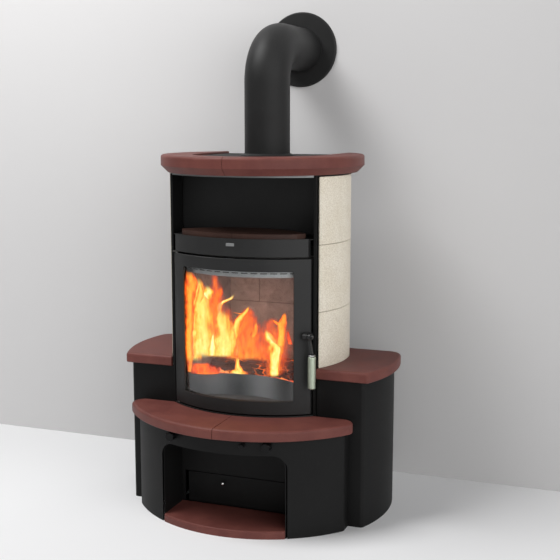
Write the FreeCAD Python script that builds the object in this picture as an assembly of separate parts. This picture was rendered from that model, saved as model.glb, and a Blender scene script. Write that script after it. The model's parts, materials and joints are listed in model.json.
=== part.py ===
import FreeCAD, Part
import math
import os

# Wood stove with a curved glass door, a warming bay, a ceramic top ring and a tiled bench round its foot.
# Millimetres, +X to the right seen from the front, +Y towards the wall, +Z up.
# The origin is on the floor, under the axis of the flue riser.

# Sheet metal, gaps and cuts
sheet = 2.0
wall_sheet = 3.0
seat_gap = 0.3
running_gap = 0.05
overrun = 20.0
reach = 2500.0

# Body in plan: side tiles lie on one circle, door and fascia on a flatter one
body_axis_y = -60.0
tile_outer_radius = 295.0
tile_thickness = 30.0
front_setback = 48.0
front_radius = 389.0
back_y = 190.0
casing_inset = 67.0
casing_lap = 12.0
post_inset = 56.0
post_width = 8.0
post_setback = 2.0

# Heights and tiles of the body
base_thickness = 4.0
front_bench_z = 317.0
bench_step = 153.0
bay_height = 194.0
deck_thickness = 4.0
tile_ledge_width = 25.0
tile_rows = 3
tile_joint = 1.6
tile_post_gap = 4.0
tile_bevel = 6.0

# Slots in the rear casing
vent_count = 9
vent_width = 12.0
vent_height = 70.0
vent_pitch = 36.0
vent_end_gap = 120.0

# Top ring, cover and deck
ring_axis_y = -41.0
ring_overhang = 37.0
ring_width = 112.0
ring_height = 56.0
ring_chamfer_width = 22.0
ring_chamfer_height = 22.0
ring_rounding = 9.0
ring_hole_rounding = 3.0
ring_joint = 1.6
cover_recess = 7.0
deck_side_inset = 5.0
strip_thickness = 2.5
strip_drop = 3.0

# Warming bay
bay_back_setback = 50.0
shelf_drop = 4.0
shelf_tile_thickness = 15.5
shelf_tile_inset = 6.0
shelf_tile_side_gap = 29.0
shelf_tile_end = 24.0
shelf_tile_clip = 20.0
shelf_joint = 1.2

# Fascia over the door
fascia_gap = 7.0
fascia_height = 55.0
fascia_side_gap = 13.0
fascia_return = 28.0

# Door
door_lift = 7.0
door_height = 491.0
door_side_gap = 6.0
door_depth = 18.0
door_skin = 5.0
door_edge_rounding = 1.5
pocket_inset = 33.0
pocket_bottom_rail = 23.0
pocket_top_rail = 20.0
window_inset = 46.0
window_bottom_rail = 43.0
window_top_rail = 39.0
window_corner = 5.0
glass_thickness = 4.0
glass_margin = 12.0
glass_play = 0.5
clip_width = 34.0
clip_height = 15.0
clip_thickness = 4.5
clip_inset = 77.0
gasket_depth = 9.0
gasket_width = 9.0
gasket_inset = 21.0
gasket_edge_gap = 8.0

# Door hinge
hinge_inset = 7.0
hinge_behind_front = 5.5
hinge_pin_radius = 5.0
hinge_pin_hold = 16.0
lug_thickness = 3.5
lug_gap = 2.0
lug_margin = 8.0

# Sill and firebox front frame
sill_thickness = 10.0
sill_gap = 4.0
frame_thickness = 4.5
frame_gap = 0.5
frame_lift = 2.0
frame_opening_margin = 8.0
frame_opening_lip = 5.0
frame_opening_drop = 16.0

# Door handle and latch
pivot_standoff = 20.2
pivot_lift = 252.0
pivot_radius = 5.0
bracket_inset = 15.0
bracket_width = 14.0
bracket_half_height = 11.0
shaft_end = 1.5
shaft_head = 6.0
shaft_head_radius = 6.5
arm_width = 7.5
arm_depth = 10.0
arm_bend_drop = 14.0
eye_radius = 11.0
grip_drop = 61.0
grip_length = 102.0
grip_radius = 12.5
grip_offset = 7.0
grip_rounding = 4.0
collar_height = 7.0
collar_radius = 9.0
stem_radius = 5.0
stem_length = 48.0
cam_thickness = 3.0
cam_side_gap = 1.6
cam_nose_height = 12.0
cam_frame_gap = 6.0
striker_radius = 4.0
striker_length = 5.0
striker_inset = 9.0
striker_gap = 0.5

# Firebox
firebox_side_cover = 17.0
firebox_back_gap = 60.0
firebox_lift = 15.0
firebox_drop = 6.0
firebox_plate = 4.0
brick_thickness = 30.0
brick_floor_thickness = 20.0
brick_top_gap = 52.0
brick_front_gap = 20.0
brick_joint = 0.6
brick_floor_setback = 7.0
baffle_thickness = 25.0
baffle_setback = 167.0
grate_size = 176.0
grate_rim = 14.0
grate_front_gap = 7.0
grate_slot_count = 8
grate_slot_width = 9.0
retainer_setback = 152.0
retainer_margin = 2.0
retainer_end_gap = 4.5
retainer_height = 50.0

# Flue
flue_radius = 75.0
flue_wall = 2.0
flue_rise = 355.0
flue_bend_radius = 125.0
flue_insert = 40.0
wall_gap = 147.0
outlet_length = 50.0
rosette_width = 55.0
rosette_thickness = 3.0
rosette_dish = 5.0
rosette_sleeve = 14.0
flue_hole_gap = 2.0
flue_collar_width = 13.0
flue_collar_height = 8.0
spigot_flange_width = 23.0
spigot_flange_height = 6.0
spigot_height = 55.0

# Plinth, log bay and ash drawer
plinth_projection = 126.0
plinth_radius = 451.0
plinth_side_depth = 45.2
plinth_corner = 26.0
arch_side_gap = 27.0
arch_drop = 52.0
arch_corner = 46.0
liner_inset = 5.0
liner_top_gap = 3.0
bay_tile_thickness = 25.0
bay_tile_proud = 1.5
bay_tile_rounding = 5.0
base_panel_setback = 57.0
base_panel_side_gap = 2.0
drawer_opening_inset = 19.0
drawer_opening_height = 106.0
drawer_front_side_gap = 12.0
drawer_front_gap = 2.0
drawer_front_lift = 4.0
drawer_front_proud = 1.0
drawer_box_inset = 13.0
drawer_box_depth = 230.0
drawer_box_lift = 9.0
drawer_box_drop = 16.0
drawer_knob_x = -54.0
drawer_knob_drop = 26.0
drawer_knob_radius = 7.0
drawer_knob_neck = 9.0
drawer_knob_neck_radius = 3.5
runner_flange = 22.0
chute_inset = 8.0
chute_gap = 4.0

# Air controls on the plinth front
control_drop = 19.0
knob_side_gap = 79.0
knob_radius = 15.0
knob_length = 24.0
knob_gap = 2.0
knob_lobes = 6
knob_scallop_radius = 6.0
knob_rounding = 3.0
valve_rod_radius = 4.0
valve_disc_radius = 17.0
valve_disc_thickness = 3.0
valve_port_radius = 4.5
valve_port_ring = 11.0
valve_port_count = 3
valve_gap = 0.6
start_knob_spacing = 76.0
start_knob_radius = 7.5
start_knob_length = 14.0
start_rod_radius = 3.0
start_travel = 30.0
start_port_radius = 12.0
start_plug_radius = 17.0
start_plug_thickness = 4.0
start_plug_gap = 1.0
bush_wall = 3.0
bush_flange = 3.0
bush_flange_thickness = 1.5
bush_length = 12.0

# Bench
bench_axis_y = -37.0
cabinet_setback = 7.92
cabinet_back_y = 97.0
cabinet_corner = 12.0
plinth_side_setback = 45.7
bench_overhang = 20.5
bench_front_overhang = 13.0
bench_back_overhang = 12.0
bench_back_corner = 48.0
bench_front_corner = 10.0
bench_thickness = 33.0
bench_top_rounding = 9.0
bench_bottom_rounding = 4.0
bench_gap = 2.0
front_bench_overhang = 32.0
front_bench_extra_radius = 14.0
front_bench_corner = 40.0
front_bench_joint = 2.0


def circle_y(axis_y, radius, x):
    """Front crossing of a circle about (0, axis_y) with the line at x."""
    return axis_y - math.sqrt(radius ** 2 - x ** 2)


def arc_radius(half_width, rise):
    """Radius of the arc that rises this much over its chord."""
    return (half_width ** 2 + rise ** 2) / (2 * rise)


# Sizes that follow: body in plan
front_y = body_axis_y - tile_outer_radius + front_setback
front_axis_y = front_y + front_radius
post_inner_x = tile_outer_radius - post_inset
post_outer_x = post_inner_x + post_width
post_front_y = circle_y(front_axis_y, front_radius, post_inner_x) + post_setback
casing_half_width = tile_outer_radius - casing_inset
side_sheet_outer = tile_outer_radius - tile_thickness - seat_gap
side_sheet_inner = side_sheet_outer - wall_sheet
side_end_y = body_axis_y + math.sqrt(side_sheet_inner ** 2 - casing_half_width ** 2) - seat_gap
ring_radius = tile_outer_radius + ring_overhang
ring_hole_radius = ring_radius - ring_width

# Sizes that follow: heights from the front bench up
tile_ledge_z = front_bench_z + bench_step
bench_z = tile_ledge_z
door_bottom_z = front_bench_z + bench_thickness + door_lift
door_top_z = door_bottom_z + door_height
fascia_bottom_z = door_top_z + fascia_gap
fascia_top_z = fascia_bottom_z + fascia_height
shelf_z = fascia_top_z - shelf_drop
shelf_top_z = shelf_z + wall_sheet
deck_z = shelf_z + bay_height
deck_top_z = deck_z + deck_thickness
ring_top_z = deck_top_z + ring_height

# Sizes that follow: door, its opening and the warming bay
door_half_width = post_inner_x - door_side_gap
door_back_radius = front_radius - door_depth
pocket_half_width = door_half_width - pocket_inset
pocket_bottom_z = door_bottom_z + pocket_bottom_rail
pocket_top_z = door_top_z - pocket_top_rail
window_half_width = door_half_width - window_inset
window_bottom_z = door_bottom_z + window_bottom_rail
window_top_z = door_top_z - window_top_rail
clip_x = window_half_width - clip_inset
glass_outer_radius = front_radius - door_skin - glass_play
glass_inner_radius = glass_outer_radius - glass_thickness
gasket_half_width = door_half_width - gasket_inset
gasket_back_radius = door_back_radius - seat_gap - gasket_depth
frame_radius = gasket_back_radius - frame_gap
frame_back_radius = frame_radius - frame_thickness
frame_top_z = door_top_z + frame_lift
frame_opening_half_width = window_half_width + frame_opening_margin
frame_opening_bottom_z = window_bottom_z - frame_opening_lip
frame_opening_top_z = window_top_z - frame_opening_drop
sill_top_z = door_bottom_z - sill_gap
fascia_half_width = post_inner_x - fascia_side_gap
bay_back_y = body_axis_y - bay_back_setback
shelf_tile_half_width = post_inner_x - shelf_tile_side_gap
hinge_x = hinge_inset - door_half_width
hinge_y = circle_y(front_axis_y, front_radius, door_half_width) + hinge_behind_front
bracket_left_x = door_half_width - bracket_inset
pivot_y = circle_y(front_axis_y, front_radius, bracket_left_x + bracket_width / 2) - pivot_standoff
pivot_z = door_bottom_z + pivot_lift
cam_left_x = door_half_width + cam_side_gap
cam_right_x = cam_left_x + cam_thickness
arm_right_x = cam_left_x + arm_width
grip_x = post_inner_x + grip_offset
grip_top_z = pivot_z - grip_drop

# Sizes that follow: firebox and flue
firebox_half_width = frame_opening_half_width + firebox_side_cover
firebox_back_y = back_y - firebox_back_gap
firebox_bottom_z = door_bottom_z + firebox_lift
firebox_top_z = door_top_z - firebox_drop
brick_floor_z = firebox_bottom_z + firebox_plate + seat_gap
hearth_z = brick_floor_z + brick_floor_thickness
brick_top_z = firebox_top_z - brick_top_gap
brick_front_y = circle_y(front_axis_y, frame_back_radius, firebox_half_width) + brick_front_gap
baffle_front_y = front_y + baffle_setback
retainer_half_width = window_half_width + retainer_margin
retainer_back_y = front_y + retainer_setback
grate_y = retainer_back_y + grate_front_gap + grate_size / 2
retainer_end_y = circle_y(front_axis_y, frame_back_radius, retainer_half_width) + retainer_end_gap
retainer_radius = arc_radius(retainer_half_width, retainer_back_y - retainer_end_y)
retainer_axis_y = retainer_back_y - retainer_radius
flue_inner_radius = flue_radius - flue_wall
flue_axis_z = ring_top_z + flue_rise
flue_riser_top_z = flue_axis_z - flue_bend_radius
wall_y = back_y + wall_gap
outlet_radius = flue_inner_radius
rosette_radius = flue_radius + rosette_width
flue_collar_radius = flue_radius + flue_collar_width
spigot_flange_radius = flue_radius + spigot_flange_width

# Sizes that follow: plinth, drawer, controls and bench
plinth_front_y = front_y - plinth_projection
plinth_axis_y = plinth_front_y + plinth_radius
cabinet_front_y = post_front_y + cabinet_setback
plinth_corner_y = cabinet_front_y - plinth_side_depth
plinth_half_width = math.sqrt(plinth_radius ** 2 - (plinth_axis_y - plinth_corner_y) ** 2)
arch_half_width = post_inner_x - arch_side_gap
arch_top_z = front_bench_z - arch_drop
liner_outer_x = arch_half_width - liner_inset
liner_top_z = arch_top_z + liner_top_gap + sheet
base_panel_y = front_y + base_panel_setback
base_panel_half_width = post_inner_x - base_panel_side_gap
base_panel_top_z = front_bench_z - seat_gap
drawer_opening_half_width = arch_half_width - drawer_opening_inset
drawer_opening_bottom_z = bay_tile_thickness
drawer_opening_top_z = drawer_opening_bottom_z + drawer_opening_height
drawer_front_half_width = drawer_opening_half_width - drawer_front_side_gap
drawer_box_half_width = drawer_front_half_width - drawer_box_inset
drawer_box_bottom_z = drawer_opening_bottom_z + drawer_box_lift
drawer_box_top_z = drawer_opening_top_z - drawer_box_drop
drawer_knob_z = drawer_opening_top_z - drawer_knob_drop
chute_half_width = grate_size / 2 - chute_inset
chute_bottom_z = drawer_opening_top_z + chute_gap
control_z = front_bench_z - control_drop
knob_x = post_inner_x - knob_side_gap
start_x = knob_x - start_knob_spacing
cabinet_radius = math.hypot(plinth_half_width + plinth_side_setback, bench_axis_y - cabinet_front_y)
bench_radius = cabinet_radius + bench_overhang
bench_front_y = cabinet_front_y - bench_front_overhang
bench_back_y = cabinet_back_y + bench_back_overhang
front_bench_radius = plinth_radius + front_bench_extra_radius
front_bench_axis_y = plinth_front_y - front_bench_overhang + front_bench_radius


def vec(x, y, z):
    return FreeCAD.Vector(x, y, z)


def block(x0, x1, y0, y1, z0, z1):
    return Part.makeBox(x1 - x0, y1 - y0, z1 - z0, vec(x0, y0, z0))


def drum(axis_y, radius, z0, z1):
    return Part.makeCylinder(radius, z1 - z0, vec(0, axis_y, z0))


def rod_along_y(radius, x, z, y0, y1):
    return Part.makeCylinder(radius, y1 - y0, vec(x, y0, z), vec(0, 1, 0))


def rod_along_x(radius, y, z, x0, x1):
    return Part.makeCylinder(radius, x1 - x0, vec(x0, y, z), vec(1, 0, 0))


def post_pin(radius, x, y, z0, z1):
    return Part.makeCylinder(radius, z1 - z0, vec(x, y, z0))


def mirrored(shape):
    return shape.mirror(vec(0, 0, 0), vec(1, 0, 0))


def fused(first, *others):
    return first.fuse(list(others)).removeSplitter()


def annulus(axis_y, inner, outer, z0, z1):
    return drum(axis_y, outer, z0, z1).cut(drum(axis_y, inner, z0, z1))


def front_wall(inner, outer, half_width, z0, z1):
    """Piece of curved sheet on the front circle, cut square at its two sides."""
    strip = block(-half_width, half_width, -reach, front_axis_y, z0, z1)
    return annulus(front_axis_y, inner, outer, z0, z1).common(strip)


def front_lens(radius, half_width, back, z0, z1):
    """Everything behind the front circle and in front of the plane y = back."""
    return drum(front_axis_y, radius, z0, z1).common(block(-half_width, half_width, -reach, back, z0, z1))


def revolved(profile, axis_point, axis_direction):
    wire = Part.makePolygon([vec(*point) for point in profile + profile[:1]])
    return Part.Face(wire).revolve(axis_point, axis_direction, 360)


def is_upright(edge):
    start = edge.Vertexes[0].Point
    end = edge.Vertexes[-1].Point
    level = math.hypot(start.x - end.x, start.y - end.y)
    return level < seat_gap and abs(start.z - end.z) > sheet


def middle(edge):
    return edge.valueAt((edge.FirstParameter + edge.LastParameter) / 2)


def upright_edges(shape, wanted):
    return [edge for edge in shape.Edges if is_upright(edge) and wanted(middle(edge))]


def level_edges(shape, z, wanted):
    """Edges that lie flat at height z and pass the test."""
    flat = [edge for edge in shape.Edges
            if max(abs(vertex.Point.z - z) for vertex in edge.Vertexes) < seat_gap / 2]
    return [edge for edge in flat if abs(middle(edge).z - z) < seat_gap / 2 and wanted(middle(edge))]


# Casing

def make_base_plate():
    width = casing_half_width - sheet - seat_gap
    front = base_panel_y + seat_gap
    inner = drum(body_axis_y, side_sheet_inner - seat_gap, 0, base_thickness)
    core = inner.common(block(-post_inner_x, post_inner_x, front, side_end_y - casing_lap, 0, base_thickness))
    return fused(core, block(-width, width, front, back_y - sheet - seat_gap, 0, base_thickness))


def make_right_side_frame():
    post_end_y = circle_y(body_axis_y, side_sheet_outer, post_outer_x)
    sheet_start_y = circle_y(body_axis_y, side_sheet_inner, post_inner_x)
    post = block(post_inner_x, post_outer_x, post_front_y, post_end_y, 0, deck_z)
    skin = annulus(body_axis_y, side_sheet_inner, side_sheet_outer, 0, deck_z)
    skin = skin.common(block(0, reach, sheet_start_y, side_end_y, 0, deck_z))
    ledge_low_z = tile_ledge_z - wall_sheet
    ledge = annulus(body_axis_y, side_sheet_inner, side_sheet_outer + tile_ledge_width, ledge_low_z, tile_ledge_z)
    ledge = ledge.common(block(post_outer_x + tile_post_gap, reach, -reach, side_end_y, ledge_low_z, tile_ledge_z))
    return fused(post, skin, ledge)


def make_right_side_tiles():
    front_x = post_outer_x + tile_post_gap
    inner = tile_outer_radius - tile_thickness
    row_height = (deck_z - tile_ledge_z) / tile_rows
    tiles = []
    for row in range(tile_rows):
        low_z = tile_ledge_z + row * row_height
        high_z = low_z + row_height - tile_joint
        tile = annulus(body_axis_y, inner, tile_outer_radius, low_z, high_z)
        tile = tile.common(block(front_x, reach, -reach, side_end_y, low_z, high_z))
        outer_y = circle_y(body_axis_y, tile_outer_radius, front_x)
        corner = upright_edges(tile, lambda p: math.hypot(p.x - front_x, p.y - outer_y) < tile_joint)
        tiles.append(tile.makeChamfer(tile_bevel, corner))
    return Part.makeCompound(tiles)


def make_rear_casing():
    front = side_end_y - casing_lap
    outer = block(-casing_half_width, casing_half_width, front, back_y, 0, deck_z)
    inner_width = casing_half_width - sheet
    inner = block(-inner_width, inner_width, front - overrun, back_y - sheet, -overrun, deck_z + overrun)
    casing = outer.cut(inner)
    slots = []
    for low_z in (vent_end_gap, deck_z - vent_end_gap):
        for place in range(vent_count):
            x = (place - (vent_count - 1) / 2) * vent_pitch
            slots.append(block(x - vent_width / 2, x + vent_width / 2, back_y - overrun, back_y + overrun,
                               low_z, low_z + vent_height))
    return casing.cut(slots)


# Ceramic top and flue

def make_top_deck():
    side_radius = tile_outer_radius - deck_side_inset
    nose_radius = front_radius - strip_thickness - seat_gap
    side_front_y = circle_y(body_axis_y, side_radius, post_outer_x)
    sides = drum(body_axis_y, side_radius, deck_z, deck_top_z)
    sides = sides.common(block(-reach, reach, side_front_y, back_y, deck_z, deck_top_z))
    nose = front_lens(nose_radius, post_outer_x, body_axis_y, deck_z, deck_top_z)
    strip_room = front_wall(nose_radius, reach, post_inner_x, deck_z, deck_top_z)
    hole = drum(0, flue_radius + flue_hole_gap, deck_z - overrun, deck_top_z + overrun)
    return fused(sides, nose).cut([strip_room, hole])


def ring_hole(radius, z0, z1):
    """Horseshoe opening of the top ring: round in front, straight out at the back."""
    return fused(drum(body_axis_y, radius, z0, z1),
                 block(-radius, radius, body_axis_y, back_y, z0, z1))


def make_top_ring_halves():
    chamfer_z = deck_top_z + ring_chamfer_height
    foot_radius = ring_radius - ring_chamfer_width
    disc = revolved([(0, ring_axis_y, deck_top_z), (foot_radius, ring_axis_y, deck_top_z),
                     (ring_radius, ring_axis_y, chamfer_z), (ring_radius, ring_axis_y, ring_top_z),
                     (0, ring_axis_y, ring_top_z)],
                    vec(0, ring_axis_y, 0), vec(0, 0, 1))
    disc = disc.makeFillet(ring_rounding, level_edges(disc, ring_top_z, lambda p: True))
    disc = disc.cut(block(-reach, reach, back_y, reach, deck_z, ring_top_z + overrun))
    ring = disc.cut(ring_hole(ring_hole_radius, deck_z, ring_top_z + overrun))
    ring = ring.cut(block(-ring_hole_radius, ring_hole_radius, back_y - overrun, reach, deck_z, ring_top_z + overrun))
    lip = level_edges(ring, ring_top_z,
                      lambda p: math.hypot(p.x, min(p.y - body_axis_y, 0)) < ring_hole_radius + seat_gap)
    ring = ring.makeFillet(ring_hole_rounding, lip)
    right = ring.common(block(ring_joint / 2, reach, -reach, reach, deck_z, ring_top_z + overrun))
    return mirrored(right), right


def make_top_cover():
    radius = ring_hole_radius - seat_gap
    top_z = ring_top_z - cover_recess
    shell = ring_hole(radius, deck_top_z, top_z)
    hollow = ring_hole(radius - sheet, deck_top_z, top_z - sheet)
    hollow = hollow.cut(block(-reach, reach, back_y - sheet, reach, deck_top_z, top_z))
    return shell.cut(hollow).cut(drum(0, flue_radius + flue_hole_gap, deck_z, ring_top_z))


def make_trim_strip():
    return front_wall(front_radius - strip_thickness, front_radius, post_inner_x - seat_gap,
                      deck_z - strip_drop, deck_top_z - seat_gap)


def make_flue_spigot():
    flange_top_z = firebox_top_z + spigot_flange_height
    outer = flue_inner_radius - seat_gap
    inner = outer - wall_sheet
    return revolved([(inner, 0, firebox_top_z), (spigot_flange_radius, 0, firebox_top_z),
                     (spigot_flange_radius, 0, flange_top_z), (outer, 0, flange_top_z),
                     (outer, 0, flange_top_z + spigot_height), (inner, 0, flange_top_z + spigot_height)],
                    vec(0, 0, 0), vec(0, 0, 1))


def make_flue_pipe():
    low_z = firebox_top_z + spigot_flange_height + seat_gap
    return annulus(0, flue_inner_radius, flue_radius, low_z, flue_riser_top_z)


def make_flue_elbow():
    foot = vec(0, 0, flue_riser_top_z)
    turn_point = vec(0, flue_bend_radius, flue_riser_top_z)
    insert_radius = flue_inner_radius - seat_gap
    core_radius = insert_radius - flue_wall

    def bend(radius):
        disc = Part.Face(Part.Wire(Part.makeCircle(radius, foot)))
        return disc.revolve(turn_point, vec(-1, 0, 0), 90)

    upright = drum(0, insert_radius, flue_riser_top_z - flue_insert, flue_riser_top_z)
    level = rod_along_y(insert_radius, 0, flue_axis_z, flue_bend_radius, flue_bend_radius + flue_insert)
    bore_up = drum(0, core_radius, flue_riser_top_z - flue_insert, flue_riser_top_z)
    bore_level = rod_along_y(core_radius, 0, flue_axis_z, flue_bend_radius, flue_bend_radius + flue_insert)
    return bend(flue_radius).fuse([upright, level]).cut([bend(core_radius), bore_up, bore_level])


def make_flue_wall_pipe():
    start = flue_bend_radius
    end = wall_y + outlet_length
    outer = rod_along_y(flue_radius, 0, flue_axis_z, start, wall_y)
    outlet = rod_along_y(outlet_radius, 0, flue_axis_z, wall_y, end)
    wide_bore = rod_along_y(flue_inner_radius, 0, flue_axis_z, start, wall_y - flue_wall)
    narrow_bore = rod_along_y(outlet_radius - flue_wall, 0, flue_axis_z, start, end)
    return fused(outer, outlet).cut([wide_bore, narrow_bore])


def make_wall_rosette():
    inner = flue_radius + seat_gap
    sleeve = inner + sheet
    face_y = wall_y - rosette_dish
    return revolved([(inner, wall_y, flue_axis_z), (inner, wall_y - rosette_sleeve, flue_axis_z),
                     (sleeve, wall_y - rosette_sleeve, flue_axis_z), (sleeve, face_y - rosette_thickness, flue_axis_z),
                     (rosette_radius - rosette_dish, face_y - rosette_thickness, flue_axis_z),
                     (rosette_radius, wall_y - rosette_thickness, flue_axis_z), (rosette_radius, wall_y, flue_axis_z),
                     (rosette_radius - rosette_thickness, wall_y, flue_axis_z),
                     (rosette_radius - rosette_dish, face_y, flue_axis_z), (sleeve, face_y, flue_axis_z),
                     (sleeve, wall_y, flue_axis_z)],
                    vec(0, 0, flue_axis_z), vec(0, 1, 0))


def make_flue_collar():
    low_z = ring_top_z - cover_recess
    inner = flue_radius + seat_gap
    return revolved([(inner, 0, low_z), (flue_collar_radius, 0, low_z),
                     (flue_collar_radius, 0, low_z + sheet), (inner + sheet, 0, low_z + flue_collar_height),
                     (inner, 0, low_z + flue_collar_height)],
                    vec(0, 0, 0), vec(0, 0, 1))


# Warming bay and fascia

def make_shelf_plate():
    half_width = post_inner_x - seat_gap
    side_radius = side_sheet_inner - seat_gap
    widen_y = circle_y(body_axis_y, side_sheet_outer, post_outer_x) + seat_gap
    nose = front_lens(front_radius - wall_sheet - seat_gap, half_width, bay_back_y, shelf_z, shelf_top_z)
    sides = drum(body_axis_y, side_radius, shelf_z, shelf_top_z)
    sides = sides.common(block(-reach, reach, widen_y, bay_back_y + sheet, shelf_z, shelf_top_z))
    return fused(nose, sides)


def make_compartment_back():
    half_width = math.sqrt((side_sheet_inner - seat_gap) ** 2 - (bay_back_y - body_axis_y) ** 2)
    return block(-half_width, half_width, bay_back_y, bay_back_y + sheet, shelf_top_z, deck_z)


def make_shelf_tiles():
    top_z = shelf_top_z + shelf_tile_thickness
    slab = front_lens(front_radius - shelf_tile_inset, shelf_tile_half_width, bay_back_y - seat_gap,
                      shelf_top_z, top_z)
    corner_y = circle_y(front_axis_y, front_radius - shelf_tile_inset, shelf_tile_half_width)
    back_radius = arc_radius(shelf_tile_half_width, bay_back_y - seat_gap - corner_y - shelf_tile_end)
    slab = slab.common(drum(bay_back_y - seat_gap - back_radius, back_radius, shelf_top_z, top_z))
    clips = upright_edges(slab, lambda p: p.y < corner_y + seat_gap)
    slab = slab.makeChamfer(shelf_tile_clip, clips)
    right = slab.common(block(shelf_joint / 2, reach, -reach, reach, shelf_top_z, top_z))
    return Part.makeCompound([mirrored(right), right])


def make_upper_fascia():
    back = circle_y(front_axis_y, front_radius, fascia_half_width) + fascia_return
    lip_z = shelf_z - seat_gap
    outer = front_lens(front_radius, fascia_half_width, back, fascia_bottom_z, lip_z)
    inner = front_lens(front_radius - wall_sheet, fascia_half_width - wall_sheet, back, fascia_bottom_z, lip_z)
    lip = front_wall(front_radius - wall_sheet, front_radius, fascia_half_width, lip_z, fascia_top_z)
    return fused(outer.cut(inner), lip)


# Door

def make_door_frame():
    slab = front_wall(door_back_radius, front_radius, door_half_width, door_bottom_z, door_top_z)
    rim = [edge for edge in slab.Edges
           if all(abs(math.hypot(v.Point.x, v.Point.y - front_axis_y) - front_radius) < seat_gap
                  for v in edge.Vertexes)]
    slab = slab.makeFillet(door_edge_rounding, rim)
    pocket = front_lens(front_radius - door_skin, pocket_half_width, front_axis_y, pocket_bottom_z, pocket_top_z)
    window = block(-window_half_width, window_half_width, -reach, front_axis_y, window_bottom_z, window_top_z)
    corners = [edge for edge in window.Edges
               if abs(edge.Vertexes[0].Point.y - edge.Vertexes[-1].Point.y) > door_depth]
    window = window.makeFillet(window_corner, corners)
    sockets = [post_pin(hinge_pin_radius + running_gap, hinge_x, hinge_y, door_bottom_z,
                        door_bottom_z + hinge_pin_hold + seat_gap),
               post_pin(hinge_pin_radius + running_gap, hinge_x, hinge_y,
                        door_top_z - hinge_pin_hold - seat_gap, door_top_z)]
    return slab.cut([pocket, window] + sockets)


def make_door_glass():
    half_width = window_half_width + glass_margin
    return front_wall(glass_inner_radius, glass_outer_radius, half_width,
                      window_bottom_z - glass_margin, window_top_z + glass_margin)


def make_glass_clips():
    outer = glass_inner_radius - seat_gap
    clips = []
    for x in (-clip_x, clip_x):
        for low_z in (pocket_bottom_z + seat_gap, pocket_top_z - seat_gap - clip_height):
            ring = annulus(front_axis_y, outer - clip_thickness, outer, low_z, low_z + clip_height)
            clips.append(ring.common(block(x - clip_width / 2, x + clip_width / 2, -reach, front_axis_y,
                                           low_z, low_z + clip_height)))
    return Part.makeCompound(clips)


def make_door_gasket():
    outer_radius = gasket_back_radius + gasket_depth
    low_z = door_bottom_z + gasket_edge_gap
    high_z = door_top_z - gasket_edge_gap
    rope = front_wall(gasket_back_radius, outer_radius, gasket_half_width, low_z, high_z)
    hole = block(-gasket_half_width + gasket_width, gasket_half_width - gasket_width, -reach, front_axis_y,
                 low_z + gasket_width, high_z - gasket_width)
    return rope.cut(hole)


def make_hinge_pins():
    low = post_pin(hinge_pin_radius, hinge_x, hinge_y, sill_top_z - sill_thickness + sheet,
                   door_bottom_z + hinge_pin_hold)
    high = post_pin(hinge_pin_radius, hinge_x, hinge_y, door_top_z - hinge_pin_hold,
                    door_top_z + lug_gap + lug_thickness)
    return Part.makeCompound([low, high])


def make_handle_bracket():
    right_x = bracket_left_x + bracket_width
    body = block(bracket_left_x, right_x, pivot_y, front_axis_y,
                 pivot_z - bracket_half_height, pivot_z + bracket_half_height)
    nose = rod_along_x(bracket_half_height, pivot_y, pivot_z, bracket_left_x, right_x)
    door_face = drum(front_axis_y, front_radius + seat_gap, pivot_z - reach, pivot_z + reach)
    hole = rod_along_x(pivot_radius + running_gap, pivot_y, pivot_z, bracket_left_x, right_x)
    return fused(body, nose).cut([door_face, hole])


# Door handle and latch

def make_latch_shaft():
    head_x = arm_right_x + seat_gap
    shaft = rod_along_x(pivot_radius, pivot_y, pivot_z, bracket_left_x - shaft_end, head_x + shaft_head)
    return fused(shaft, rod_along_x(shaft_head_radius, pivot_y, pivot_z, head_x, head_x + shaft_head))


def make_latch_cam():
    nose_y = circle_y(front_axis_y, frame_radius, cam_right_x) - cam_frame_gap
    plate = block(cam_left_x, cam_right_x, pivot_y, nose_y,
                  pivot_z - cam_nose_height / 2, pivot_z + cam_nose_height / 2)
    eye = rod_along_x(eye_radius, pivot_y, pivot_z, cam_left_x, cam_right_x)
    return fused(plate, eye).cut(rod_along_x(pivot_radius + running_gap, pivot_y, pivot_z, cam_left_x, cam_right_x))


def make_handle_arm():
    eye_left_x = cam_right_x + seat_gap
    collar_top_z = grip_top_z + seat_gap + collar_height
    eye = rod_along_x(eye_radius, pivot_y, pivot_z, eye_left_x, arm_right_x)
    bend_z = pivot_z - arm_bend_drop
    blade_points = [(eye_left_x, pivot_z), (arm_right_x, pivot_z), (arm_right_x, bend_z),
                    (grip_x + arm_width / 2, collar_top_z), (grip_x - arm_width / 2, collar_top_z),
                    (cam_left_x, bend_z), (eye_left_x, bend_z)]
    outline = Part.makePolygon([vec(x, pivot_y - arm_depth / 2, z) for x, z in blade_points + blade_points[:1]])
    blade = Part.Face(outline).extrude(vec(0, arm_depth, 0))
    collar = post_pin(collar_radius, grip_x, pivot_y, grip_top_z + seat_gap, collar_top_z)
    stem = post_pin(stem_radius, grip_x, pivot_y, grip_top_z - stem_length, collar_top_z)
    arm = fused(eye, blade, collar, stem)
    return arm.cut(rod_along_x(pivot_radius + running_gap, pivot_y, pivot_z, eye_left_x, arm_right_x))


def make_handle_grip():
    low_z = grip_top_z - grip_length
    grip = post_pin(grip_radius, grip_x, pivot_y, low_z, grip_top_z)
    rims = [edge for edge in grip.Edges if not is_upright(edge)]
    grip = grip.makeFillet(grip_rounding, rims)
    bore = post_pin(stem_radius + running_gap, grip_x, pivot_y, grip_top_z - stem_length - seat_gap,
                    grip_top_z + overrun)
    return grip.cut(bore)


def make_latch_striker():
    y = circle_y(front_axis_y, frame_radius, post_inner_x) - cam_frame_gap - striker_inset
    z = pivot_z + cam_nose_height / 2 + striker_gap + striker_radius
    return rod_along_x(striker_radius, y, z, post_inner_x - striker_length, post_inner_x)


# Sill, firebox front frame and firebox

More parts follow.
